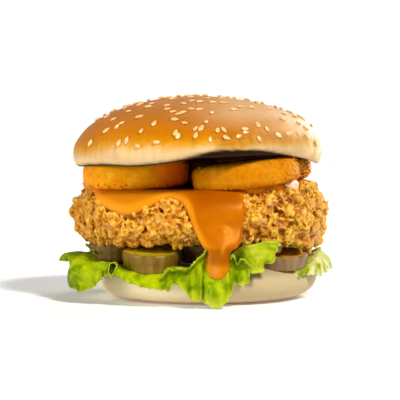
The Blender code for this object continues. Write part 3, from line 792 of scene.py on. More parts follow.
def make_seeds(crown):
    tree = BVHTree.FromObject(crown, bpy.context.evaluated_depsgraph_get())
    spots = []
    for x, height, heading in FRONT_SEEDS:
        hit = tree.ray_cast(Vector((x, -90, height)) * MM, Vector((0, 1, 0)))
        if hit[0]:
            spots.append((np.array(hit[0]) / MM, np.array(hit[1]), heading, rng))
    for x, y, heading in TOP_SEEDS:
        hit = tree.ray_cast(Vector((x, y, 120)) * MM, Vector((0, 0, -1)))
        spots.append((np.array(hit[0]) / MM, np.array(hit[1]), heading, rng))
    wanted = len(spots) + 96
    tries = 0
    while len(spots) < wanted and tries < 4000:
        tries += 1
        bearing, out = rng.uniform(0, 360), 53 * math.sqrt(rng.uniform(0.0, 1.0))
        if out / 53 > 0.55 + 0.45 * rng.uniform():
            continue
        x, y = out * math.sin(math.radians(bearing)), -out * math.cos(math.radians(bearing))
        hit = tree.ray_cast(Vector((x, y, 120)) * MM, Vector((0, 0, -1)))
        at = np.array(hit[0]) / MM
        if y < 10:
            continue
        if min(np.linalg.norm(at - other[0]) for other in spots) < 3.0:
            continue
        spots.append((at, np.array(hit[1]), rng.uniform(0, 360), rng))
    own = np.random.default_rng(23)
    upper = [(x, y, heading) for x, y, heading in UPPER_SEEDS]
    upper += [(own.uniform(-46, 46), own.uniform(1, 14), own.uniform(0, 360)) for _ in range(60)]
    for x, y, heading in upper:
        hit = tree.ray_cast(Vector((x, y, 120)) * MM, Vector((0, 0, -1)))
        at = np.array(hit[0]) / MM
        if min(np.linalg.norm(at - other[0]) for other in spots) > 4.6:
            spots.append((at, np.array(hit[1]), heading, own))
    points, faces, tip = seed_shape()
    parts, tips = [], []
    for at, normal, heading, dice in spots:
        side = np.cross((0, 0, 1), normal)
        side = side / max(np.linalg.norm(side), 1e-6) if abs(normal[2]) < 0.999 else np.array((1.0, 0, 0))
        up = np.cross(normal, side)
        turn = math.radians(heading)
        along = math.cos(turn) * side + math.sin(turn) * up + normal * dice.uniform(-0.12, 0.12)
        along /= np.linalg.norm(along)
        across = np.cross(normal, along)
        size = dice.uniform(1.02, 1.32)
        axes = np.stack([along, across, np.cross(along, across)])
        parts.append(((points * size * (1, dice.uniform(0.85, 1.1), 1)) @ axes + at + normal * 0.42, faces))
        tips.append(tip)
    all_points, all_faces = joined(parts)
    mesh = new_mesh("sesame_seeds", all_points, all_faces)
    set_values(mesh, "tip", 0.55 * smooth_step(0.72, 1.0, np.concatenate(tips)))
    weld(mesh, 0.0005)
    return piece("sesame_seeds", mesh, sesame(), "bun_pale")


# ---------------------------------------------------------------- fillet

FILLET_HALF_WIDTH, FILLET_HALF_DEPTH, FILLET_SQUARENESS = 58.8, 49.0, 2.3
FILLET_SHIFT, FILLET_MIDDLE, FILLET_HALF, FILLET_SWELL = -0.3, 37.2, 10.4, 2.0
FILLET_QUARTER = FILLET_HALF * math.pi / 2
SAUCE_STANDOFF = 4.4


def fillet_radius(bearing):
    turn = np.radians(bearing)
    across = np.abs(np.sin(turn) / FILLET_HALF_WIDTH) ** FILLET_SQUARENESS
    along = np.abs(np.cos(turn) / FILLET_HALF_DEPTH) ** FILLET_SQUARENESS
    wobble = 1 + 0.012 * np.sin(3 * turn + 0.4) + 0.010 * np.sin(5 * turn + 2.0)
    return wobble / (across + along) ** (1 / FILLET_SQUARENESS)


def fillet_half(bearing, reach):
    across = np.sin(np.radians(bearing))
    swell = 0.2 + 0.8 * across**2 + 0.6 * np.maximum(0.0, across) ** 3
    return FILLET_HALF + FILLET_SWELL * swell * smooth_step(0.78, 1.0, reach)


def fillet_edge_start(bearing):
    return fillet_radius(bearing) - FILLET_HALF


def fillet_form(bearing, distance, side=1):
    """The smooth slab's surface, a distance out along its face. Past the widest line it falls away."""
    start = fillet_edge_start(bearing)
    turn = np.clip((distance - start) / FILLET_QUARTER, 0.0, 1.0) * math.pi / 2
    radius = np.minimum(distance, start) + FILLET_HALF * np.sin(turn)
    half = fillet_half(bearing, radius / fillet_radius(bearing))
    fall = np.maximum(0.0, distance - start - FILLET_QUARTER)
    height = FILLET_MIDDLE + side * half * np.cos(turn) - fall
    point = around(bearing, radius + SAUCE_STANDOFF * smooth_step(0.0, 14.0, fall), height)
    point[..., 0] += FILLET_SHIFT
    return point


def fillet_outward(bearing, distance, side=1):
    turn = np.clip((distance - fillet_edge_start(bearing)) / FILLET_HALF, 0.0, math.pi / 2)
    return around(bearing, np.sin(turn), side * np.cos(turn))


SAUCE_MARGIN = (
    (-180, 15.0), (-168, 5.0), (-150, 4.0), (-128, 9.5), (-108, 3.5), (-85, 2.8), (-68, 3.0),
    (-60, 4.4), (-56, 8.2), (-52, 11.2), (-46.5, 12.8), (-39, 14.7), (-33.5, 14.6), (-26, 11.6),
    (-20.8, 8.3), (-16.5, 6.4), (-10.5, 7.9), (-7.5, 9.4), (-5, 12.2), (-3.4, 15.4), (-1.9, 19.2),
    (0, 23.2), (1.9, 26.6), (3.3, 28.6), (4.8, 29.8), (8, 30.4), (12, 30.0), (15, 29.2),
    (16.8, 27.8), (18.4, 24.9), (19.8, 18.5), (21.2, 12.4), (22.6, 7.2), (25.0, 3.2), (40, 2.5),
    (75, 3.0), (104, 3.5), (118, 11.0), (132, 4.0), (152, 3.5), (164, 8.0), (173, 17.0),
)


def slab():
    """(points, faces) of the smooth slab under the crust."""
    bearing = np.arange(180) * 2.0
    rows = []
    for side in (1, -1):
        shares = np.concatenate([np.linspace(0.0, 0.97, 14), np.linspace(1.0, 1.0, 1)])
        start = fillet_edge_start(bearing)
        for share in shares:
            rows.append(fillet_form(bearing, start * max(share, 0.002), side))
        for share in np.linspace(0.08, 1.0, 12)[: 12 if side == 1 else 11]:
            rows.append(fillet_form(bearing, start + FILLET_QUARTER * share, side))
        if side == 1:
            top = rows
            rows = []
    order = top + rows[::-1]
    return np.concatenate(order), grid_faces(len(order), 180, wrap=True)


def scatter_on_fillet(count, low, high):
    """Random (bearing, distance, side), even over the round edge. low and high are runs from its start."""
    found = []
    while len(found) < count:
        bearing = rng.uniform(-180, 180)
        radius = fillet_radius(bearing)
        if rng.uniform() > radius / 60:
            continue
        side = 1 if rng.uniform() < 0.5 else -1
        run = rng.uniform(low, high)
        found.append((bearing, float(fillet_edge_start(bearing)) + run, side))
    return np.array(found)


# Lumps that show one by one: (bearing, run past the start of the round edge, side, radius, how far out).
MARKED_LUMPS = (
    (-84.0, 15.0, 1, 3.4, 1.6), (-80.0, 12.0, 1, 2.6, 1.4), (-88.0, 16.0, -1, 2.4, 1.0),
    (52.0, 15.5, -1, 5.2, 1.3), (60.0, 13.5, -1, 4.4, 1.2), (66.0, 9.0, -1, 3.0, 1.6),
    (72.0, 8.0, -1, 2.2, 2.6), (46.0, 9.0, -1, 3.2, 1.2), (40.0, 7.0, -1, 2.8, 1.0),
    (84.0, 9.0, 1, 3.6, 0.6), (95.0, 10.0, 1, 3.4, 0.6), (76.0, 7.0, 1, 3.4, 0.4),
    (-52.0, 14.0, 1, 3.4, 0.6), (-6.0, 13.5, -1, 3.0, 0.9), (-44.0, 5.0, -1, 2.8, 1.0),
    (-58.0, 4.0, -1, 2.6, 1.2), (-36.0, 4.5, -1, 2.8, 1.0), (-30.0, 4.0, -1, 2.4, 1.2),
    (63.0, 3.0, 1, 3.2, 3.2), (69.0, 3.4, 1, 3.6, 3.4), (77.0, 4.2, 1, 3.6, 2.2),
    (58.0, 12.0, 1, 3.4, 1.6), (66.0, 11.0, 1, 3.8, 1.8), (74.0, 13.0, 1, 3.6, 1.4), (63.0, 15.5, 1, 3.2, 1.8),
    (50.0, 10.0, 1, 3.0, 1.5), (44.0, 14.0, 1, 2.8, 1.4), (36.0, 9.0, 1, 2.8, 1.2), (69.0, 14.5, -1, 3.6, 1.6),
    (56.0, 8.0, -1, 3.4, 1.6), (64.0, 6.0, -1, 3.0, 2.2), (30.0, 13.0, 1, 2.6, 1.0), (76.0, 12.0, -1, 3.0, 1.4),
)


# Points of crust that stick out: (base, tip, radius at the base).
CRUST_SPIKES = (
    ((-54.0, -6.0, 40.4), (-59.6, -9.0, 41.0), 2.0), ((-53.0, -12.0, 37.0), (-57.6, -15.0, 35.6), 1.8),
    ((49.6, -19.0, 27.4), (55.4, -22.0, 25.2), 1.9), ((50.4, -10.0, 43.8), (54.8, -12.0, 45.6), 2.6),
    ((40.0, -30.0, 29.0), (40.6, -32.0, 25.0), 2.4), ((37.0, -34.0, 28.6), (37.6, -36.6, 25.0), 2.2),
    ((43.0, -26.0, 28.6), (44.6, -28.0, 22.0), 2.8), ((47.0, -20.0, 29.0), (49.2, -23.0, 21.2), 3.0),
    ((-10.6, -41.6, 28.8), (-10.6, -42.8, 24.6), 2.9), ((-8.0, -41.6, 28.8), (-8.2, -43.2, 24.6), 2.6), ((-3.6, -41.6, 28.8), (-3.4, -43.0, 25.2), 2.2),
    ((50.0, -16.0, 29.0), (53.0, -18.0, 23.4), 2.6), ((-45.0, -23.0, 28.4), (-48.5, -27.0, 25.8), 2.4), ((-36.0, -33.0, 28.6), (-35.2, -35.4, 24.0), 2.4),
    ((-40.0, -30.0, 28.6), (-40.2, -32.4, 25.2), 2.2), ((-31.0, -36.0, 28.4), (-30.4, -38.0, 25.6), 2.0),
)


def crust_spike(base, tip, radius):
    """(points, faces) of a run of lumps that gets thinner towards its tip."""
    share = np.linspace(0, 1, 9)[:, None]
    centres = np.array(base) * (1 - share) + np.array(tip) * share
    return lumps(centres, radius * (1 - 0.78 * share[:, 0] ** 1.2), 1, 0.1, (0.8, 1.2))


def under_sauce(bearing, run, side, height):
    """1 where the sauce lies on the crust, down to 0 at its margin."""
    margin = round_table(SAUCE_MARGIN, bearing)
    low_end = FILLET_MIDDLE + FILLET_QUARTER - margin
    below = smooth_step(-1.0, 1.0, height - low_end) * (margin > FILLET_QUARTER)
    return np.where(side > 0, smooth_step(0.3, -1.2, run - margin), below)


# Lumps at random: (count, lowest and highest run, radii, how far out, jaggedness, stretch).
CRUST_LUMPS = (
    (520, -6.0, 16.3, (2.6, 4.6), (-2.8, -1.4), 0.18, (0.65, 1.3)),
    (1000, -8.0, 16.3, (1.3, 2.4), (-1.5, -0.4), 0.22, (0.55, 1.35)),
    (700, -6.0, 16.3, (1.3, 2.5), (-1.2, 0.0), 0.22, (0.30, 1.6)),
    (3600, -7.0, 16.3, (0.45, 0.95), (-0.3, 0.55), 0.24, (0.5, 1.5)),
    (420, -34.0, -6.0, (1.4, 3.0), (-1.4, -0.2), 0.18, (0.65, 1.3)),
)


def make_crust():
    parts = []
    points, faces = slab()
    parts.append((points * (0.985, 0.985, 1) - (0, 0, 0.0), faces))
    quads = new_mesh("slab", *joined(parts))
    cage = bmesh.new()
    cage.from_mesh(quads)
    bmesh.ops.remove_doubles(cage, verts=cage.verts[:], dist=0.2 * MM)
    bmesh.ops.triangulate(cage, faces=cage.faces[:])
    slab_points = np.array([vertex.co for vertex in cage.verts]) / MM
    slab_faces = np.array([[vertex.index for vertex in face.verts] for face in cage.faces])
    cage.free()
    groups = []
    for count, low, high, radii, out, jag, flat in CRUST_LUMPS:
        spots = scatter_on_fillet(count, low, high)
        radius = rng.uniform(*radii, size=count)
        stand = rng.uniform(*out, size=count)
        bearing, distance, side = spots.T
        run = distance - fillet_edge_start(bearing)
        centre = np.where(side[:, None] > 0, fillet_form(bearing, distance, 1), fillet_form(bearing, distance, -1))
        covered = under_sauce(bearing, run, side, centre[:, 2])
        outward = fillet_outward(bearing, distance)
        outward[:, 2] *= side
        stand = np.where(covered > 0.3, -radius * 0.85, stand)
        flat_top = smooth_step(4.0, -4.0, run)
        stand = stand - flat_top * np.where(side > 0, radius * 0.6, radius * 0.4)
        groups.append(lumps(centre + outward * stand[:, None], radius, 1, jag, flat))
    marked = np.array(MARKED_LUMPS, float)
    bearing, run, side, radius, out = marked.T
    distance = fillet_edge_start(bearing) + run
    centre = np.where(side[:, None] > 0, fillet_form(bearing, distance, 1), fillet_form(bearing, distance, -1))
    outward = fillet_outward(bearing, distance)
    outward[:, 2] *= side
    groups.append(lumps(centre + outward * (out - 0.35 * radius)[:, None], radius, 3, 0.08, (0.8, 1.15)))
    groups += [crust_spike(*spike) for spike in CRUST_SPIKES]
    points, faces = joined([(slab_points, slab_faces), *groups])
    mesh = fused("fillet_crust", new_mesh("crust_parts", points, faces), 0.46)
    points = coords(mesh)
    outward = normals(mesh)
    bent = points + 1.3 * np.stack([soft_noise(points, 3.2, s) for s in (41, 42, 43)], axis=1)
    rough = 0.5 * fractal(points, 6.0, 2, 32)
    for size, height, seed in ((4.8, 1.3, 33), (2.8, -0.9, 34), (1.5, -0.55, 35), (0.8, 0.3, 36)):
        rough += height * (np.abs(soft_noise(bent, size, seed)) - 0.25)
    points = points + outward * rough[:, None]
    points[:, 0] += 4.2 * smooth_step(-38, -60, points[:, 0]) - 2.2 * smooth_step(40, 60, points[:, 0])
    set_coords(mesh, points)
    mesh = thinned(mesh, 190000)
    points, pairs = coords(mesh), edge_pairs(mesh)
    outward = normals(mesh)
    # How far each point sits in or out from its smoothed surroundings: painted shade in the crevices and painted
    # highlights on the tips, stronger at the right end.
    cavity = np.zeros(len(points))
    for rounds, weight in ((3, 1.6), (12, 0.45), (60, 0.16)):
        base = relax(points, pairs, rounds)
        cavity += weight * np.einsum("ij,ij->i", outward, points - base)
    right = smooth_step(20, 45, points[:, 0])
    set_values(mesh, "cavity", np.clip(0.64 - 0.2 * right + (0.52 + 0.85 * right) * cavity, 0, 1))
    lump = np.exp(-(np.linalg.norm(points - (49.0, -26.0, 30.0), axis=1) / 6.5) ** 4)
    blots = smooth_step(0.28, 0.5, soft_noise(points, 4.5, 51)) * 0.35
    set_values(mesh, "pink", np.clip(lump * 0.85 + blots, 0, 1))
    right_end = smooth_step(24, 48, points[:, 0]) * smooth_step(-0.3, 0.4, soft_noise(points, 5.5, 52))
    set_values(mesh, "gold", 0.55 * right_end)
    return piece("fillet_crust", mesh, fried_crust(), "crumb_coating", "chicken_fillet")


# ---------------------------------------------------------------- sauce


# The drip's middle line and half width: (x, y, z, half width).
DRIP = (
    (9.0, -50.6, 30.0, 4.6), (8.6, -51.6, 27.0, 4.6), (8.2, -52.8, 24.6, 4.7), (7.9, -53.8, 22.4, 4.9),
    (7.6, -54.4, 20.0, 5.4), (7.4, -54.8, 18.0, 5.2), (7.3, -55.0, 16.4, 4.5), (7.2, -55.2, 15.2, 3.6),
)
DRIP_FLATNESS = 0.62


def make_sauce():
    """A thick sheet with a rounded rim, fused and relaxed so that it lies as a thick liquid does."""
    front = np.arange(-11, 26, 0.45)
    rest = np.arange(26, 349, 2.4)
    bearing = np.concatenate([front, rest])
    start = fillet_edge_start(bearing)
    run = round_table(SAUCE_MARGIN, bearing)
    shares = np.linspace(0, 1, 50) ** 0.9
    distance = np.concatenate(
        [start[None] * np.linspace(0.02, 0.97, 10)[:, None], start[None] + run[None] * shares[:, None]]
    )
    all_bearings = np.broadcast_to(bearing, distance.shape)
    form = fillet_form(all_bearings, distance)
    outward = fillet_outward(all_bearings, distance)
    past = distance - start[None]
    on_top = smooth_step(6.2, 0.0, past)
    ramped = math.tan(math.radians(5.0)) * np.maximum(0.0, form[..., 0] - 8.0) * on_top
    low = smooth_step(0.8 * FILLET_QUARTER, 2 * FILLET_QUARTER, past)
    in_drip = np.exp(-((turn_between(8.0, all_bearings) / 5.5) ** 4))
    edge = np.clip((1 - past / np.maximum(run[None], 0.1)) * run[None] / 2.2, 0, 1)
    rounding = np.sqrt(1 - (1 - edge) ** 2)
    depth = (1.6 + ramped + 0.9 * in_drip * low) * rounding + 0.1
    root = 1.3 * (1 - low) + 0.8 * low
    outer = form + outward * depth[..., None]
    inner = form - outward * root[..., None]
    rows, columns = distance.shape
    faces = grid_faces(rows, columns, wrap=True)
    count = rows * columns
    rim = np.arange(columns)
    last = (rows - 1) * columns
    after = (rim + 1) % columns
    rim_faces = np.stack([last + rim, last + after, count + last + after, count + last + rim], axis=1)
    top_faces = np.stack([rim, after, count + after, count + rim], axis=1)[:, ::-1]
    points = np.concatenate([outer.reshape(-1, 3), inner.reshape(-1, 3)])
    faces = np.concatenate([faces, faces[:, ::-1] + count, rim_faces[:, ::-1], top_faces[:, ::-1]])
    mesh = new_mesh("sauce_sheet", points, faces)
    cage = bmesh.new()
    cage.from_mesh(mesh)
    bmesh.ops.recalc_face_normals(cage, faces=cage.faces[:])
    bmesh.ops.triangulate(cage, faces=cage.faces[:])
    sheet_points = np.array([vertex.co for vertex in cage.verts]) / MM
    sheet_faces = np.array([[vertex.index for vertex in face.verts] for face in cage.faces])
    cage.free()
    # A bead of sauce gathers along the margin.
    beads = []
    line_bearing = np.concatenate([np.arange(-62, 24.5, 0.25), np.arange(25, 298, 1.0)])
    line_start = fillet_edge_start(line_bearing)
    line_run = round_table(SAUCE_MARGIN, line_bearing)
    place = line_start + line_run - 1.0
    centre = fillet_form(line_bearing, place) + fillet_outward(line_bearing, place) * 0.5
    size = 1.35 + 0.35 * np.exp(-((turn_between(-4, line_bearing) / 9) ** 2)) + 0.2 * soft_noise(centre, 9, 61)
    path = even_steps(np.column_stack([centre, size]), 760)
    beads.append(lumps(path[:, :3], path[:, 3], 2, 0.0, (1.0, 1.0)))
    # The long drip hangs from under the flow's end, flat in section and fullest low down.
    path = even_steps(np.array(DRIP), 60)
    squash = np.array((1.0, DRIP_FLATNESS, 1.0))
    beads.append(lumps(path[:, :3] / squash, path[:, 3], 3, 0.0, (1.0, 1.0)))
    beads[-1] = (beads[-1][0] * squash, beads[-1][1])
    points, faces = joined([(sheet_points, sheet_faces), *beads])
    mesh = fused("sauce_pour", new_mesh("sauce_parts", points, faces), 0.5)
    points, pairs = coords(mesh), edge_pairs(mesh)
    points = relax(points, pairs, 20)
    points = points + normals(mesh) * 0.12
    set_coords(mesh, points)
    mesh = thinned(mesh, 56000)
    points = coords(mesh)
    bearing = bearing_of(points - (FILLET_SHIFT, 0, 0))
    rise = np.clip((points[:, 2] - 1.0 - FILLET_MIDDLE) / fillet_half(bearing, 1.0), 0, 1)
    run = np.arccos(rise) * FILLET_HALF + np.maximum(0, FILLET_MIDDLE - points[:, 2])
    to_margin = round_table(SAUCE_MARGIN, bearing) - run
    # Painted light: the flow's left margin, the left lobe, the drip's lower end and a band down the drip's middle are
    # painted lighter.
    lit = 0.8 * smooth_step(5.5, 1.2, to_margin) * smooth_step(10, 0, bearing) * (points[:, 1] < 0)
    height = points[:, 2] + 0.3 * soft_noise(points, 3, 62)
    drip_end = 0.7 * smooth_step(20.0, 15.5, height) + 0.5 * np.exp(-(((points[:, 0] - 7.6) / 1.4) ** 2)) * (height < 22)
    lobe = smooth_step(-12, -20, points[:, 0]) * smooth_step(0, -10, points[:, 1]) * 0.35
    # Painted light: the sheet of sauce under the right onion ring, which lies in its shade, is painted brighter.
    side_sheet = smooth_step(16, 22, points[:, 0]) * smooth_step(45, 48, points[:, 2]) * smooth_step(-14, -24, points[:, 1])
    set_values(mesh, "rim", np.clip(lit + lobe + 0.55 * drip_end, 0, 1))
    set_values(mesh, "bright", side_sheet)
    streak = np.exp(-(((points[:, 0] - 6.1) / 0.8) ** 2))
    set_values(mesh, "wet", streak * smooth_step(23.0, 21.0, height) * smooth_step(12.8, 15.0, height))
    # Painted shade: the flow is darkened where it runs down the front just under the right onion ring.
    deep = smooth_step(38.5, 45.0, points[:, 2]) * smooth_step(-8, 2, points[:, 0]) * smooth_step(20, 14, points[:, 0])
    set_values(mesh, "deep", 0.75 * deep)
    set_values(mesh, "thin", smooth_step(26.5, 24.0, height) * smooth_step(16.5, 20.5, height) * 0.8)
    return piece("sauce_pour", mesh, orange_sauce(), "orange_sauce", "sauce")


# Blobs of pale sauce at the right, under the onion ring: (x, y, z, radius).
MAYO_BLOBS = (
    (37.9, -31.9, 51.5, 1.1), (39.2, -31.3, 52.0, 1.5), (40.6, -30.7, 52.2, 1.6), (41.9, -30.1, 51.6, 1.3),
    (40.0, -31.5, 50.7, 1.5), (41.3, -30.9, 50.2, 1.1), (38.7, -31.9, 50.9, 1.0),
)


def make_mayo():
    blobs = np.array(MAYO_BLOBS)
    points, faces = lumps(blobs[:, :3], blobs[:, 3], 3, 0.0, (0.8, 1.2))
    mesh = fused("mayo_dab", new_mesh("mayo_parts", points, faces), 0.25)
    set_coords(mesh, relax(coords(mesh), edge_pairs(mesh), 6))
    look = Look("mayo")
    colour = look.ramp(look.noise(2.0, 2), (0.35, srgb(232, 196, 164)), (0.65, srgb(240, 214, 194)))
    look.setting(Base_Color=colour, Roughness=0.3, Subsurface_Weight=0.15, Subsurface_Scale=0.002)
    return piece("mayo_dab", mesh, look.material, "orange_sauce")


# ---------------------------------------------------------------- onion rings

ONION_RINGS = (
    ("onion_ring_left", -28.6, -12.5, 23.6, 12.9, -0.8, 0.0, 3.6, 300, 96),
    ("onion_ring_right", 20.0, -23.0, 23.8, 12.5, 0.4, 7.0, 3.0, 300, 96),
    ("onion_ring_back_right", 31.6, 19.8, 20.2, 10.6, 2.2, 5.0, 2.4, 220, 72),
    ("onion_ring_back_left", -9.0, 28.5, 21.0, 12.8, 0.2, 0.0, 2.6, 220, 72),
)


def make_ring(name, x, y, outer, thickness, lift, tilt, squareness, around_steps, section_steps, material):
    band = (outer - 6.0) / 2
    middle = 6.0 + band
    turn = np.linspace(0, 2 * math.pi, around_steps, endpoint=False)[:, None]
    section = np.linspace(0, 2 * math.pi, section_steps, endpoint=False)[None, :]
    power = 2.0 / squareness
    wide = np.sign(np.cos(section)) * np.abs(np.cos(section)) ** power
    tall = np.sign(np.sin(section)) * np.abs(np.sin(section)) ** power
    uneven = 1 + 0.02 * np.sin(2 * turn + 40 * outer) + 0.012 * np.sin(5 * turn)
    radius = middle + band * wide * uneven
    height = thickness / 2 * tall * np.ones_like(turn)
    points = np.stack([radius * np.cos(turn), radius * np.sin(turn), height], axis=-1).reshape(-1, 3)
    mesh = new_mesh(name + "_look", points, grid_faces(around_steps, section_steps, wrap=True))
    # Close the ring: the last row of sections meets the first.
    faces = grid_faces(around_steps + 1, section_steps, wrap=True) % len(points)
    mesh = new_mesh(name + "_look", points, faces[:, ::-1])
    outward = normals(mesh)
    shift = np.array((x * 3.1, y * 2.7, 0.0))
    where = points + shift
    near, second = cells(where + 0.3 * np.stack([soft_noise(where, 1.2, s) for s in (71, 72, 73)], axis=1), 1.05, 74)
    crumbed = 0.3 + 0.7 * smooth_step(27, 37, where[:, 0] - shift[0] + x)
    coat = 0.45 * fractal(where, 8.0, 2, 75) + crumbed * (0.36 * (0.6 - near) + 0.16 * fractal(where, 0.8, 2, 76))
    points = points + outward * (coat - 0.12)[:, None]
    lean = math.radians(tilt)
    turned_x = points[:, 0] * math.cos(lean) - points[:, 2] * math.sin(lean)
    turned_z = points[:, 0] * math.sin(lean) + points[:, 2] * math.cos(lean)
    prop = 1.9 * smooth_step(-30, -8, turned_x + x) * (x < -20)
    points = np.stack([turned_x + x, points[:, 1] + y, turned_z + 49.3 + lift + prop + thickness / 2], axis=1)
    set_coords(mesh, points)
    # Painted shade: the front right ring darkens towards its right end and along its top, under the crown.
    under_crown = smooth_step(56.5, 60.5, points[:, 2] - 0.05 * points[:, 0])
    # The coat's top and bottom edges are painted browner: partly browning batter, partly painted shade where the crown
    # and the sauce meet the ring.
    frayed = points[:, 2] + 0.9 * soft_noise(where, 3.0, 79) - math.tan(lean) * (points[:, 0] - x) - prop
    browned = smooth_step(50.8, 49.6, frayed - lift) + smooth_step(thickness - 1.6, thickness - 0.4, frayed - lift - 49.3)
    set_values(mesh, "browned", 0.6 * np.clip(browned, 0, 1))
    # Painted light: the left ring's right end, which lies in shade between the rings, is painted brighter and redder.
    set_values(mesh, "red", smooth_step(-26, -10, points[:, 0]) * (x < -20))
    darker = smooth_step(-2, 14, points[:, 0]) * (1.0 + 0.55 * smooth_step(14, 24, points[:, 0]) + 0.5 * under_crown) * (y < 0)
    set_values(mesh, "shade", np.clip(darker, 0, 1.6))
    grain = 0.48 + crumbed * 0.9 * (0.55 - near) + 0.3 * fractal(where, 4, 2, 78)
    set_values(mesh, "grain", np.clip(grain, 0, 1))
    return piece(name + "_look", mesh, material, "ring_coating", name)


def make_loose_crumb():
    points, faces = lumps([(55.8, -14.6, 13.2), (56.5, -14.4, 14.1)], [1.0, 0.8], 3, 0.06)
    mesh = fused("loose_crumb", new_mesh("loose_crumb_parts", points, faces), 0.2)
    for name in ("cavity", "pink", "gold"):
        set_values(mesh, name, np.full(len(mesh.vertices), 0.35))
    return mesh


def make_ring_crumbs(rings):
    """Coarser crumbs stuck here and there on the coats."""
    spots, radii = [], []
    for ring in rings:
        mesh = ring.data
        points, outward = coords(mesh), normals(mesh)
        picks = rng.choice(len(points), 3000, replace=False)
        dense = soft_noise(points[picks], 8, 81) + 0.5 * smooth_step(30, 44, points[picks][:, 0])
        low_edge = np.exp(-((points[picks][:, 2] - 51.0) / 1.4) ** 2) * 0.7
        dense = dense + 0.9 * smooth_step(32, 42, points[picks][:, 0])
        keep = dense + low_edge + rng.uniform(-0.6, 0.6, len(picks)) > 1.0
        picks = picks[keep]
        spots.append(points[picks] + outward[picks] * 0.12)
        radii.append(rng.uniform(0.28, 0.62, len(picks)))
    points, faces = lumps(np.concatenate(spots), np.concatenate(radii), 1, 0.16, (0.7, 1.3))
    mesh = new_mesh("ring_crumbs", points, faces)
    # Painted shade on the crumbs towards the right, as on the rings.
    set_values(mesh, "shade", smooth_step(4, 22, points[:, 0]))
    set_values(mesh, "red", np.zeros(len(points)))
    set_values(mesh, "browned", np.repeat(rng.uniform(-0.4, 0.5, len(points) // 12).clip(0, 1), 12))
    set_values(mesh, "grain", np.repeat(rng.uniform(0.2, 1.0, len(points) // 12), 12))
    return mesh


# ---------------------------------------------------------------- pickles

PICKLES = (
    ("pickle_left", -37.6, -17.0, 11.4, 8.0, 17.6, 0.0),
    ("pickle_front", -20.5, -36.6, 12.8, 8.6, 15.0, 8.0),
    ("pickle_middle", 2.5, -25.0, 11.3, 8.7, 17.4, 0.0),
    ("pickle_right", 35.2, -23.6, 12.3, 6.4, 15.4, 8.0),
    ("pickle_upper_right", 24.8, -31.6, 11.0, 4.2, 22.0, 0.0),
    ("pickle_back_left", -24.0, 29.0, 12.2, 8.6, 17.4, 0.0),
    ("pickle_back_right", 21.0, 30.0, 12.6, 8.7, 17.4, 0.0),
)


def make_pickle(name, x, y, radius, thickness, floor, tilt, material):
    corner = 1.1
    top = np.stack([np.linspace(0, radius - corner, 16), np.full(16, thickness / 2)], axis=1)[:-1]
    turn = np.linspace(0, math.pi / 2, 7)
    upper = np.stack([radius - corner + corner * np.sin(turn), thickness / 2 - corner + corner * np.cos(turn)], axis=1)
    wall = np.stack([np.full(7, radius), np.linspace(thickness / 2 - corner, corner - thickness / 2, 9)[1:-1]], axis=1)
    profile = np.concatenate([top, upper, wall, (upper * (1, -1))[::-1], (top * (1, -1))[::-1]])
    points, faces = turned(profile, 120)
    reach = np.hypot(points[:, 0], points[:, 1]) / radius
    turn = np.arctan2(points[:, 1], points[:, 0])
    swell = 1 + 0.025 * np.sin(3 * turn + 50 * x) - 0.03 * smooth_step(1.0, -1.0, points[:, 2])
    facets = 0.012 * np.abs(np.sin(7.5 * turn + x)) + 0.006 * np.sin(23 * turn)
    points[:, :2] *= (swell - facets)[:, None]
    where = points + (x, y, 0)
    face = smooth_step(0.94, 0.86, reach)
    sink = -0.45 * smooth_step(0.9, 0.6, reach) + 0.35 * fractal(where, 5, 3, 91) * face
    points[:, 2] += np.sign(points[:, 2]) * sink
    lean = math.radians(tilt)
    turned_y = points[:, 1] * math.cos(lean) - points[:, 2] * math.sin(lean)
    turned_z = points[:, 1] * math.sin(lean) + points[:, 2] * math.cos(lean)
    points = np.stack([points[:, 0] + x, turned_y + y, turned_z + floor + thickness / 2], axis=1)
    mesh = new_mesh(name + "_look", points, faces)
    set_values(mesh, "face", smooth_step(0.97, 0.90, reach))
    set_values(mesh, "core", smooth_step(0.72, 0.55, reach))
    # Painted shade: the front slice darkens towards its right, and the middle slice, under the crust, is darkened all
    # over.
    set_values(mesh, "shade", smooth_step(-18.0, -9.0, points[:, 0]) * (y < -35) + (x == 2.5))
    weld(mesh)
    return piece(name + "_look", mesh, material, "pickle_green", name)


# ---------------------------------------------------------------- lettuce


def spline_rows(rows, count):
    """Rows of points (same count each) resampled to count rows on smooth curves."""
    rows = np.asarray(rows, float)
    place = np.linspace(0, len(rows) - 1, count)
    index = np.clip(place.astype(int), 0, len(rows) - 2)
    part = (place - index).reshape((-1,) + (1,) * (rows.ndim - 1))
    before, start = rows[np.maximum(index - 1, 0)], rows[index]
    end, after = rows[index + 1], rows[np.minimum(index + 2, len(rows) - 1)]
    curve = 2 * start + (end - before) * part
    curve += (2 * before - 5 * start + 4 * end - after) * part**2
    curve += (3 * start - before - 3 * end + after) * part**3
    return curve / 2


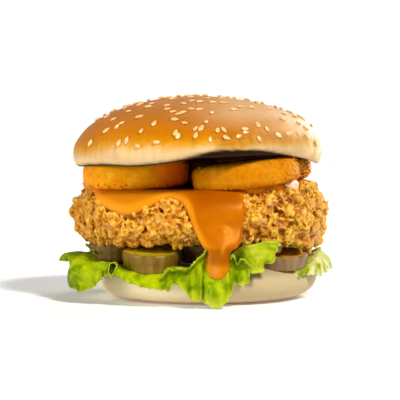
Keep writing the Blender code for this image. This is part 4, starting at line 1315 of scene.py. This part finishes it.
def leaf_sheet(rows, along, across, ruffle, seed, rag=1.0, fold=None, pitch=4.6):
    """(points, faces, veins, rims, painted shade) of a sheet lofted through rows that run from its root to its margin.

    fold is the share of the way along where the sheet is bent back on itself in a lit, frilled ridge.
    """
    sheet = spline_rows(rows, along)
    sheet = np.swapaxes(spline_rows(np.swapaxes(sheet, 0, 1), across), 0, 1)
    v = np.linspace(0, 1, along)[:, None] * np.ones((1, across))
    u = np.linspace(-1, 1, across)[None, :] * np.ones((along, 1))
    flat = sheet.reshape(-1, 3)
    step = np.gradient(sheet, axis=0)
    outward = np.cross(np.gradient(sheet, axis=1), step)
    outward /= np.maximum(np.linalg.norm(outward, axis=-1, keepdims=True), 1e-9)
    outer_row = sheet[-1]
    run = np.concatenate([[0], np.cumsum(np.linalg.norm(np.diff(outer_row, axis=0), axis=1))])
    line = np.stack([run, np.zeros(across), np.zeros(across)], axis=1)
    phase = 2 * math.pi * (run / pitch + 0.9 * soft_noise(line, 11, seed))
    swing = 0.75 + 0.6 * soft_noise(line, 8, seed + 1)
    slant = 1.2 * fractal(flat, 14, 2, seed + 9).reshape(along, across)
    pleat = np.sin(phase[None, :] + slant + 1.6 * (1 - v))
    frill = np.sin(2.7 * phase[None, :] + 3 * slant + 0.8)
    margin = np.maximum(smooth_step(0.45, 1.0, v) ** 1.5, 0.7 * smooth_step(0.75, 1.0, np.abs(u)))
    ridge = np.exp(-(((v - fold) / 0.05) ** 2)) if fold else np.zeros_like(v)
    margin = np.maximum(margin, ridge)
    wave = fractal(flat, 7.0, 2, seed + 2).reshape(along, across)
    swell = ruffle * (swing[None, :] * (pleat * margin + 0.22 * frill * margin**3) + 0.5 * wave * (0.3 + margin))
    sheet = sheet + outward * (swell * (1 - ridge))[..., None]
    sheet[..., 2] += ridge * ruffle * (0.5 * frill + 0.5 * soft_noise(flat, 1.6, seed + 7).reshape(along, across))
    # The margin is ragged: the last rows are pulled in and out by unlike amounts.
    jag = 0.9 * fractal(outer_row, 4.0, 2, seed + 3) + 0.6 * soft_noise(outer_row, 1.3, seed + 4)
    reach = smooth_step(0.8, 1.0, v)
    length = np.maximum(np.linalg.norm(step, axis=-1, keepdims=True), 1e-9)
    sheet = sheet + step / length * (reach * jag[None, :] * rag)[..., None]
    blister = 0.25 * soft_noise(sheet.reshape(-1, 3), 2.6, seed + 4).reshape(along, across)
    sheet = sheet + outward * blister[..., None]
    ribs = np.abs(np.sin(u * 5.5 + 0.6 * soft_noise(flat, 9, seed + 5).reshape(along, across) + 1.3 * (1 - v)))
    fine_veins = np.abs(soft_noise(flat, 3.2, seed + 6)).reshape(along, across)
    vein = np.maximum(smooth_step(0.16, 0.0, ribs) * (1 - 0.5 * v), 0.7 * smooth_step(0.09, 0.0, fine_veins))
    rim = np.maximum(smooth_step(0.88, 1.0, v), smooth_step(0.95, 1.0, np.abs(u)) * 0.8)
    rim = np.maximum(rim, ridge)
    # Painted shade in the hollows of the ruffles and in a band under the fold's ridge.
    valley = smooth_step(0.3, -0.7, swell / ruffle) * (1 - 0.6 * rim)
    if fold:
        valley = np.maximum(valley, 1.2 * np.exp(-(((v - fold - 0.13) / 0.07) ** 2)))
    return sheet.reshape(-1, 3), grid_faces(along, across), vein.ravel(), rim.ravel(), valley.ravel()


def leaf_mesh(name, sheets, thickness=0.32):
    parts = [leaf_sheet(**sheet) for sheet in sheets]
    points, faces = joined([part[:2] for part in parts])
    mesh = new_mesh(name, points, faces)
    set_values(mesh, "vein", np.concatenate([part[2] for part in parts]))
    set_values(mesh, "rim", 0.8 * np.concatenate([part[3] for part in parts]))
    set_values(mesh, "valley", 0.8 * np.concatenate([part[4] for part in parts]))
    obj = new_object(name, mesh)
    solid = obj.modifiers.new("thickness", "SOLIDIFY")
    solid.thickness = thickness * MM
    solid.offset = 0.0
    return applied(obj)


# The front leaf by columns: (x, rim y, rim height, mid y, foot y, foot height). Its rim is a frilled fold
# that stands out under the pickles, and the leaf bellies out below it in lobes.
FRONT_LEAF = (
    (-15.4, -54.5, 13.8, -53.5, -53.8, 9.0), (-13.4, -57.2, 16.8, -56.0, -55.6, 7.4),
    (-11.2, -54.6, 16.6, -53.2, -53.8, 10.2), (-8.6, -57.8, 17.2, -54.8, -55.0, 9.2),
    (-5.8, -54.8, 16.4, -53.4, -56.2, 6.6), (-3.2, -57.6, 18.8, -57.0, -57.4, 3.6),
    (-0.8, -55.2, 21.4, -57.0, -57.6, 2.8), (1.2, -56.0, 22.8, -54.6, -55.8, 3.4),
    (3.4, -54.6, 25.9, -57.0, -58.2, 1.4), (6.5, -51.4, 22.0, -57.8, -58.8, 0.6),
    (9.5, -51.4, 21.0, -57.4, -58.6, 1.2), (12.2, -54.0, 20.4, -55.0, -57.2, 4.0),
    (13.9, -57.6, 22.9, -53.0, -54.4, 8.6), (15.6, -54.6, 19.0, -53.2, -54.0, 10.4),
    (17.8, -57.4, 21.4, -55.8, -55.8, 9.4), (21.0, -54.2, 18.2, -53.6, -54.2, 11.2),
)


def front_leaf_rows():
    x, rim_y, rim, mid_y, foot_y, foot = np.array(FRONT_LEAF).T
    flat = np.ones_like(x)
    rows = (
        (0.9 * x, -30 * flat, 16.3 * flat),
        (x, -46 * flat, 16.6 * flat),
        (x, -51.2 * flat, rim - 1.2),
        (x, rim_y, rim),
        (x, rim_y * 0.35 - 53.0 * 0.65, rim - 1.9),
        (x, -53.0 * flat, rim - 4.2),
        (x, mid_y, 0.45 * (rim - 4.2) + 0.55 * foot),
        (x, foot_y, foot),
    )
    return np.stack([np.stack(row, axis=-1) for row in rows])


# Leaves: for each, its sheets, and for each sheet rows of (x, y, z) from the root to the margin.
LEAVES = {
    "lettuce_front": (
        dict(rows=front_leaf_rows(), along=112, across=172, ruffle=0.75, seed=101, rag=0.7, fold=3 / 7, pitch=7.5),
    ),
    "lettuce_front_left": (
        dict(
            rows=(
                ((-44, -24, 16.2), (-40, -26, 16.2), (-36, -28, 16.2), (-31, -29, 16.2), (-26, -30, 16.2), (-20, -31, 16.2), (-13, -32, 16.2)),
                ((-46, -34, 17.4), (-42, -37, 18.4), (-38, -40, 18.0), (-33, -43.5, 15.4), (-27, -45, 14.4), (-20, -46.5, 14.2), (-13, -47, 14.4)),
                ((-46.6, -36.5, 16.6), (-42.6, -40, 18.0), (-38.6, -43.2, 17.2), (-33.6, -46.6, 14.8), (-27.2, -49.4, 12.2), (-20.5, -51.4, 11.8), (-13.5, -52.0, 12.6)),
                ((-46.5, -37.5, 12.5), (-42.4, -41.4, 15.0), (-38.4, -44.6, 15.2), (-33.4, -48.2, 13.0), (-27.4, -50.8, 10.6), (-20.6, -52.4, 9.8), (-14, -53.0, 10.6)),
                ((-46.0, -38.0, 10.5), (-42.2, -42.0, 12.4), (-37.4, -45.2, 13.6), (-33.2, -48.8, 11.8), (-27.0, -51.4, 9.4), (-20.6, -52.8, 8.0), (-14.6, -53.4, 7.8)),
            ),
            along=60, across=124, ruffle=0.7, seed=111, rag=1.3, pitch=6.5,
        ),
        dict(
            rows=[
                [(x, y, z) for x, z in (
                    (-38.2, 12.8), (-39.0, 15.6), (-38.2, 17.9), (-36.6, 18.8), (-35.2, 17.6),
                    (-35.9, 15.8), (-37.2, 14.2), (-37.6, 12.4),
                )]
                for y in (-41.0, -44.5, -48.4)
            ],
            along=24, across=80, ruffle=0.25, seed=115, rag=0.4,
        ),
    ),
    "lettuce_left": (
        dict(
            rows=(
                ((-26, 2, 16.2), (-27, -5, 16.2), (-27, -10, 16.2), (-28, -15, 16.2), (-28, -18, 16.2), (-27, -21, 16.2), (-27, -24, 16.2), (-26, -27, 16.2)),
                ((-47, 2, 18.0), (-49, -8, 20.0), (-48.5, -16, 20.6), (-47.6, -23, 19.8), (-46.0, -28, 17.4), (-44, -32, 16.2), (-41, -36, 16.0), (-37.5, -39, 16.0)),
                ((-53, 2, 18.4), (-55, -8, 20.6), (-55.2, -17, 20.8), (-54.0, -23, 19.4), (-54.6, -27.5, 18.6), (-51.0, -32.5, 17.6), (-46.0, -37.5, 16.2), (-40.5, -41.4, 15.8)),
                ((-56.5, 2, 17.0), (-59, -8, 20.0), (-60.0, -18, 20.2), (-55.4, -24, 17.6), (-57.4, -27.5, 14.4), (-54.4, -33.5, 13.2), (-48.4, -38.6, 12.6), (-42, -42.6, 14.0)),
                ((-57, 2, 13.0), (-60.4, -8, 18.0), (-61.6, -17.5, 18.4), (-55.2, -24.6, 17.0), (-57.4, -27.5, 10.8), (-54.4, -33.6, 8.6), (-48.2, -39.2, 9.2), (-42, -43.0, 12.4)),
                ((-57, 2, 12.0), (-60.4, -8, 16.6), (-61.4, -17.8, 17.2), (-54.8, -24.8, 16.4), (-56.8, -27.2, 8.4), (-53.4, -33.2, 5.2), (-47.2, -39.0, 6.8), (-41.5, -42.8, 11.6)),
            ),
            along=90, across=136, ruffle=1.0, seed=121, rag=0.6, pitch=7.5,
        ),
        dict(
            rows=(
                ((-36, 0, 17), (-36, -8, 17), (-36, -15, 17), (-35, -22, 17)),
                ((-45, -1, 21.0), (-46, -9, 21.4), (-46, -16, 21.0), (-43, -24, 19.2)),
                ((-49, -3, 23.6), (-51, -10, 24.0), (-50.0, -18, 24.2), (-46, -26, 21.6)),
            ),
            along=40, across=70, ruffle=0.7, seed=125, rag=0.8,
        ),
    ),
    "lettuce_front_right": (
        dict(
            rows=(
                ((13, -40, 21.0), (13, -41, 20.0), (13.5, -42, 19.0), (14.5, -43, 18), (16, -44, 17)),
                ((18.0, -48.0, 25.2), (17.4, -49.6, 22.6), (17.6, -50.6, 20.0), (18.8, -51.4, 17.4), (20.6, -52.0, 14.8)),
                ((22.8, -50.6, 26.6), (22.6, -52.2, 24.0), (22.6, -52.4, 21.2), (22.8, -52.8, 18.0), (23.0, -53.0, 14.6)),
                ((27.6, -50.2, 27.8), (27.4, -51.6, 25.2), (27.2, -52.2, 22.0), (25.6, -53.0, 18.6), (25.0, -53.2, 15.0)),
                ((32.2, -47.2, 28.0), (31.2, -49.6, 25.0), (30.4, -51.0, 21.4), (27.2, -52.6, 18.4), (26.4, -53.0, 14.8)),
                ((34.4, -45.6, 26.6), (32.2, -49.2, 23.2), (31.2, -50.6, 19.6), (27.0, -52.4, 18.2), (27.2, -52.8, 14.6)),
            ),
            along=90, across=90, ruffle=0.55, seed=131, rag=0.9,
        ),
    ),
    "lettuce_right": (
        dict(
            rows=(
                ((28, -14, 16.2), (29, -7, 16.2), (30, 0, 16.2), (30, 7, 16.2)),
                ((44, -16, 16.6), (46, -7, 17.0), (47, 1, 17.0), (46, 10, 16.6)),
                ((51, -15, 19.5), (53, -7, 20.4), (54, 2, 21.0), (53, 12, 19.5)),
                ((54.0, -14, 16.0), (56.6, -7, 17.4), (58.4, 2, 18.0), (57.5, 13, 17.0)),
                ((54.6, -14, 12.6), (57.6, -7, 12.8), (59.4, 2, 12.0), (58, 14, 12.0)),
            ),
            along=50, across=90, ruffle=1.1, seed=141, rag=1.0, pitch=7.0,
        ),
        dict(
            rows=(
                ((30, -18, 15.4), (33, -16, 15.4), (37, -14, 15.8), (40, -10, 16.4), (42, -6, 17)),
                ((41, -29.0, 14.6), (44.5, -27.6, 14.8), (48.0, -23.5, 17.2), (51.0, -19, 20.0), (53.0, -14, 23.4)),
                ((41.0, -30.5, 13.6), (44.6, -29.2, 13.4), (48.8, -25.4, 15.2), (52.4, -20.5, 17.6), (55.2, -14.6, 19.6)),
                ((40.6, -31, 12.2), (43.4, -30.2, 11.0), (47.4, -27.0, 12.7), (52.6, -22.0, 11.2), (57.6, -14.5, 12.4)),
            ),
            along=52, across=84, ruffle=0.9, seed=145, rag=1.2,
        ),
    ),
}


def swept_leaf_rows(bearing, half_span, path, seed):
    """Rows for a leaf that hangs over the heel's edge, from a (radius, height) path, in uneven lobes."""
    columns = np.linspace(-1, 1, 15)
    line = np.stack([columns * half_span, np.zeros(15), np.zeros(15)], axis=1)
    sway, drop = soft_noise(line, 9.0, seed), soft_noise(line, 13.0, seed + 1)
    rows = []
    for share, (radius, height) in zip(np.linspace(0, 1, len(path)), path):
        out = radius + 3.4 * share**2 * sway - 2.0 * share**2 * np.abs(columns) ** 3
        rows.append(around(bearing + half_span * columns, out, height + share**3 * (5.5 * drop + 2.0 * columns**4)))
    return rows


BACK_RIGHT_PATH = ((24, 16.3), (46, 16.4), (53, 18.5), (57.5, 22.0), (60.0, 17.0), (60.5, 9.0))
BACK_LEFT_PATH = ((24, 16.3), (46, 16.4), (53, 17.0), (57, 18.2), (59.5, 15.0), (59.8, 7.0))
LEAVES["lettuce_back_right"] = (
    dict(rows=swept_leaf_rows(146, 27, BACK_RIGHT_PATH, 171), along=50, across=134, ruffle=1.3, seed=151, rag=1.2, pitch=8.0),
)
LEAVES["lettuce_back_left"] = (
    dict(rows=swept_leaf_rows(-134, 38, BACK_LEFT_PATH, 175), along=50, across=170, ruffle=1.3, seed=161, rag=1.2, pitch=8.0),
)


# ---------------------------------------------------------------- the burger

crown = make_crown()
make_heel()
make_seeds(crown)
crust = make_crust()
piece("loose_crumb", make_loose_crumb(), crust.data.materials[0], "crumb_coating")
make_sauce()
make_mayo()
ring_material = onion_coat()
rings = [make_ring(*ring, ring_material) for ring in ONION_RINGS]
piece("ring_crumbs", make_ring_crumbs(rings), ring_material, "ring_coating")

olive = gherkin(
    "gherkin_olive",
    (srgb(112, 82, 16), srgb(132, 100, 28), srgb(150, 118, 42)),
    (srgb(150, 130, 4), srgb(186, 164, 14), srgb(222, 200, 44)),
    srgb(220, 200, 70),
)
mauve = gherkin(
    "gherkin_brown",
    (srgb(116, 86, 54), srgb(132, 102, 68), srgb(146, 116, 84)),
    (srgb(196, 134, 10), srgb(216, 158, 22), srgb(230, 178, 60)),
    srgb(226, 178, 60),
)
# A darker copy of the gherkin finish, for slices that lie in shade under the crust: painted shade.
dark = gherkin(
    "gherkin_dark",
    (srgb(92, 66, 14), srgb(116, 86, 28), srgb(134, 104, 44)),
    (srgb(84, 60, 8), srgb(110, 84, 16), srgb(140, 110, 30)),
    srgb(150, 120, 40),
)
for pickle in PICKLES:
    finish = {"pickle_right": mauve, "pickle_left": dark, "pickle_upper_right": dark}.get(pickle[0], olive)
    make_pickle(*pickle, finish)

green = leaf_green("lettuce_bright", srgb(128, 158, 0), srgb(176, 200, 0), srgb(212, 222, 10), srgb(224, 226, 70))
pale = leaf_green("lettuce_pale", srgb(170, 186, 24), srgb(222, 224, 96), srgb(246, 240, 176), srgb(248, 244, 204))
light = leaf_green("lettuce_light", srgb(166, 186, 0), srgb(204, 214, 20), srgb(222, 226, 70), srgb(232, 232, 130))
for name, sheets in LEAVES.items():
    finish = {"lettuce_front_right": light, "lettuce_right": pale}.get(name, green)
    piece(name + "_look", leaf_mesh(name + "_look", sheets), finish, "lettuce_green", name)


# ---------------------------------------------------------------- stage, lights and camera


def make_stage():
    floor_material = Look("studio_floor")
    tint = floor_material.noise(300, 2)
    floor_material.setting(
        Base_Color=floor_material.ramp(tint, (0.3, (0.92, 0.92, 0.92)), (0.7, (0.94, 0.94, 0.94))), Roughness=0.9
    )
    floor_material.setting(Emission_Color=(1.0, 1.0, 1.0), Emission_Strength=0.145)
    size = 6000
    points = np.array([(-size, -size, 0), (size, -size, 0), (size, size, 0), (-size, size, 0)], float)
    mesh = new_mesh("studio_floor", points, np.array([[0, 1, 2, 3]]))
    mesh.materials.append(floor_material.material)
    new_object("studio_floor", mesh)


def make_sun(name, strength, azimuth, elevation, spread):
    """Light from a direction: azimuth 0 is from the camera's side, 90 from the right."""
    lamp = bpy.data.lights.new(name, "SUN")
    lamp.energy = strength
    lamp.angle = math.radians(spread)
    obj = bpy.data.objects.new(name, lamp)
    bpy.context.scene.collection.objects.link(obj)
    turn, lift = math.radians(azimuth), math.radians(elevation)
    towards = Vector((math.sin(turn) * math.cos(lift), -math.cos(turn) * math.cos(lift), math.sin(lift)))
    obj.rotation_mode = "QUATERNION"
    obj.rotation_quaternion = towards.to_track_quat("Z", "Y")


def make_panel(name, power, place, size, colour=(1, 1, 1)):
    lamp = bpy.data.lights.new(name, "AREA")
    lamp.energy = power
    lamp.shape = "RECTANGLE"
    lamp.size, lamp.size_y = size
    lamp.color = colour
    obj = bpy.data.objects.new(name, lamp)
    bpy.context.scene.collection.objects.link(obj)
    obj.location = place
    obj.rotation_mode = "QUATERNION"
    obj.rotation_quaternion = (Vector(place) - Vector((0, 0, 0.045))).to_track_quat("Z", "Y")
    obj.visible_camera = False


def make_world():
    world = bpy.data.worlds.new("studio")
    world.use_nodes = True
    tree = world.node_tree
    seen = tree.nodes["Background"]
    seen.inputs["Color"].default_value = (1.0, 1.0, 1.0, 1.0)
    seen.inputs["Strength"].default_value = 1.05
    lit = tree.nodes.new("ShaderNodeBackground")
    lit.inputs["Color"].default_value = (1.0, 0.985, 0.96, 1.0)
    lit.inputs["Strength"].default_value = 0.21
    path = tree.nodes.new("ShaderNodeLightPath")
    blend = tree.nodes.new("ShaderNodeMixShader")
    tree.links.new(path.outputs["Is Camera Ray"], blend.inputs[0])
    tree.links.new(lit.outputs[0], blend.inputs[1])
    tree.links.new(seen.outputs[0], blend.inputs[2])
    tree.links.new(blend.outputs[0], tree.nodes["World Output"].inputs["Surface"])
    bpy.context.scene.world = world


make_stage()
make_world()
make_sun("key", 2.95, 38, 43, 9)
make_sun("fill", 1.5, -68, 14, 30)
make_panel("back_right", 4.2, (0.45, 0.65, 0.30), (0.5, 0.5))

lens = bpy.data.cameras.new("camera")
lens.sensor_width = 36.0
lens.lens = 1538 * 36 / 400
lens.clip_start = 0.01
camera = bpy.data.objects.new("camera", lens)
bpy.context.scene.collection.objects.link(camera)
camera.location = (0.0, -0.70, 0.070)
camera.rotation_mode = "QUATERNION"
camera.rotation_quaternion = (camera.location - Vector((0, 0, 0.0437))).to_track_quat("Z", "Y")
bpy.context.scene.camera = camera
bpy.context.scene.view_settings.view_transform = "Standard"
bpy.context.scene.view_settings.look = "None"
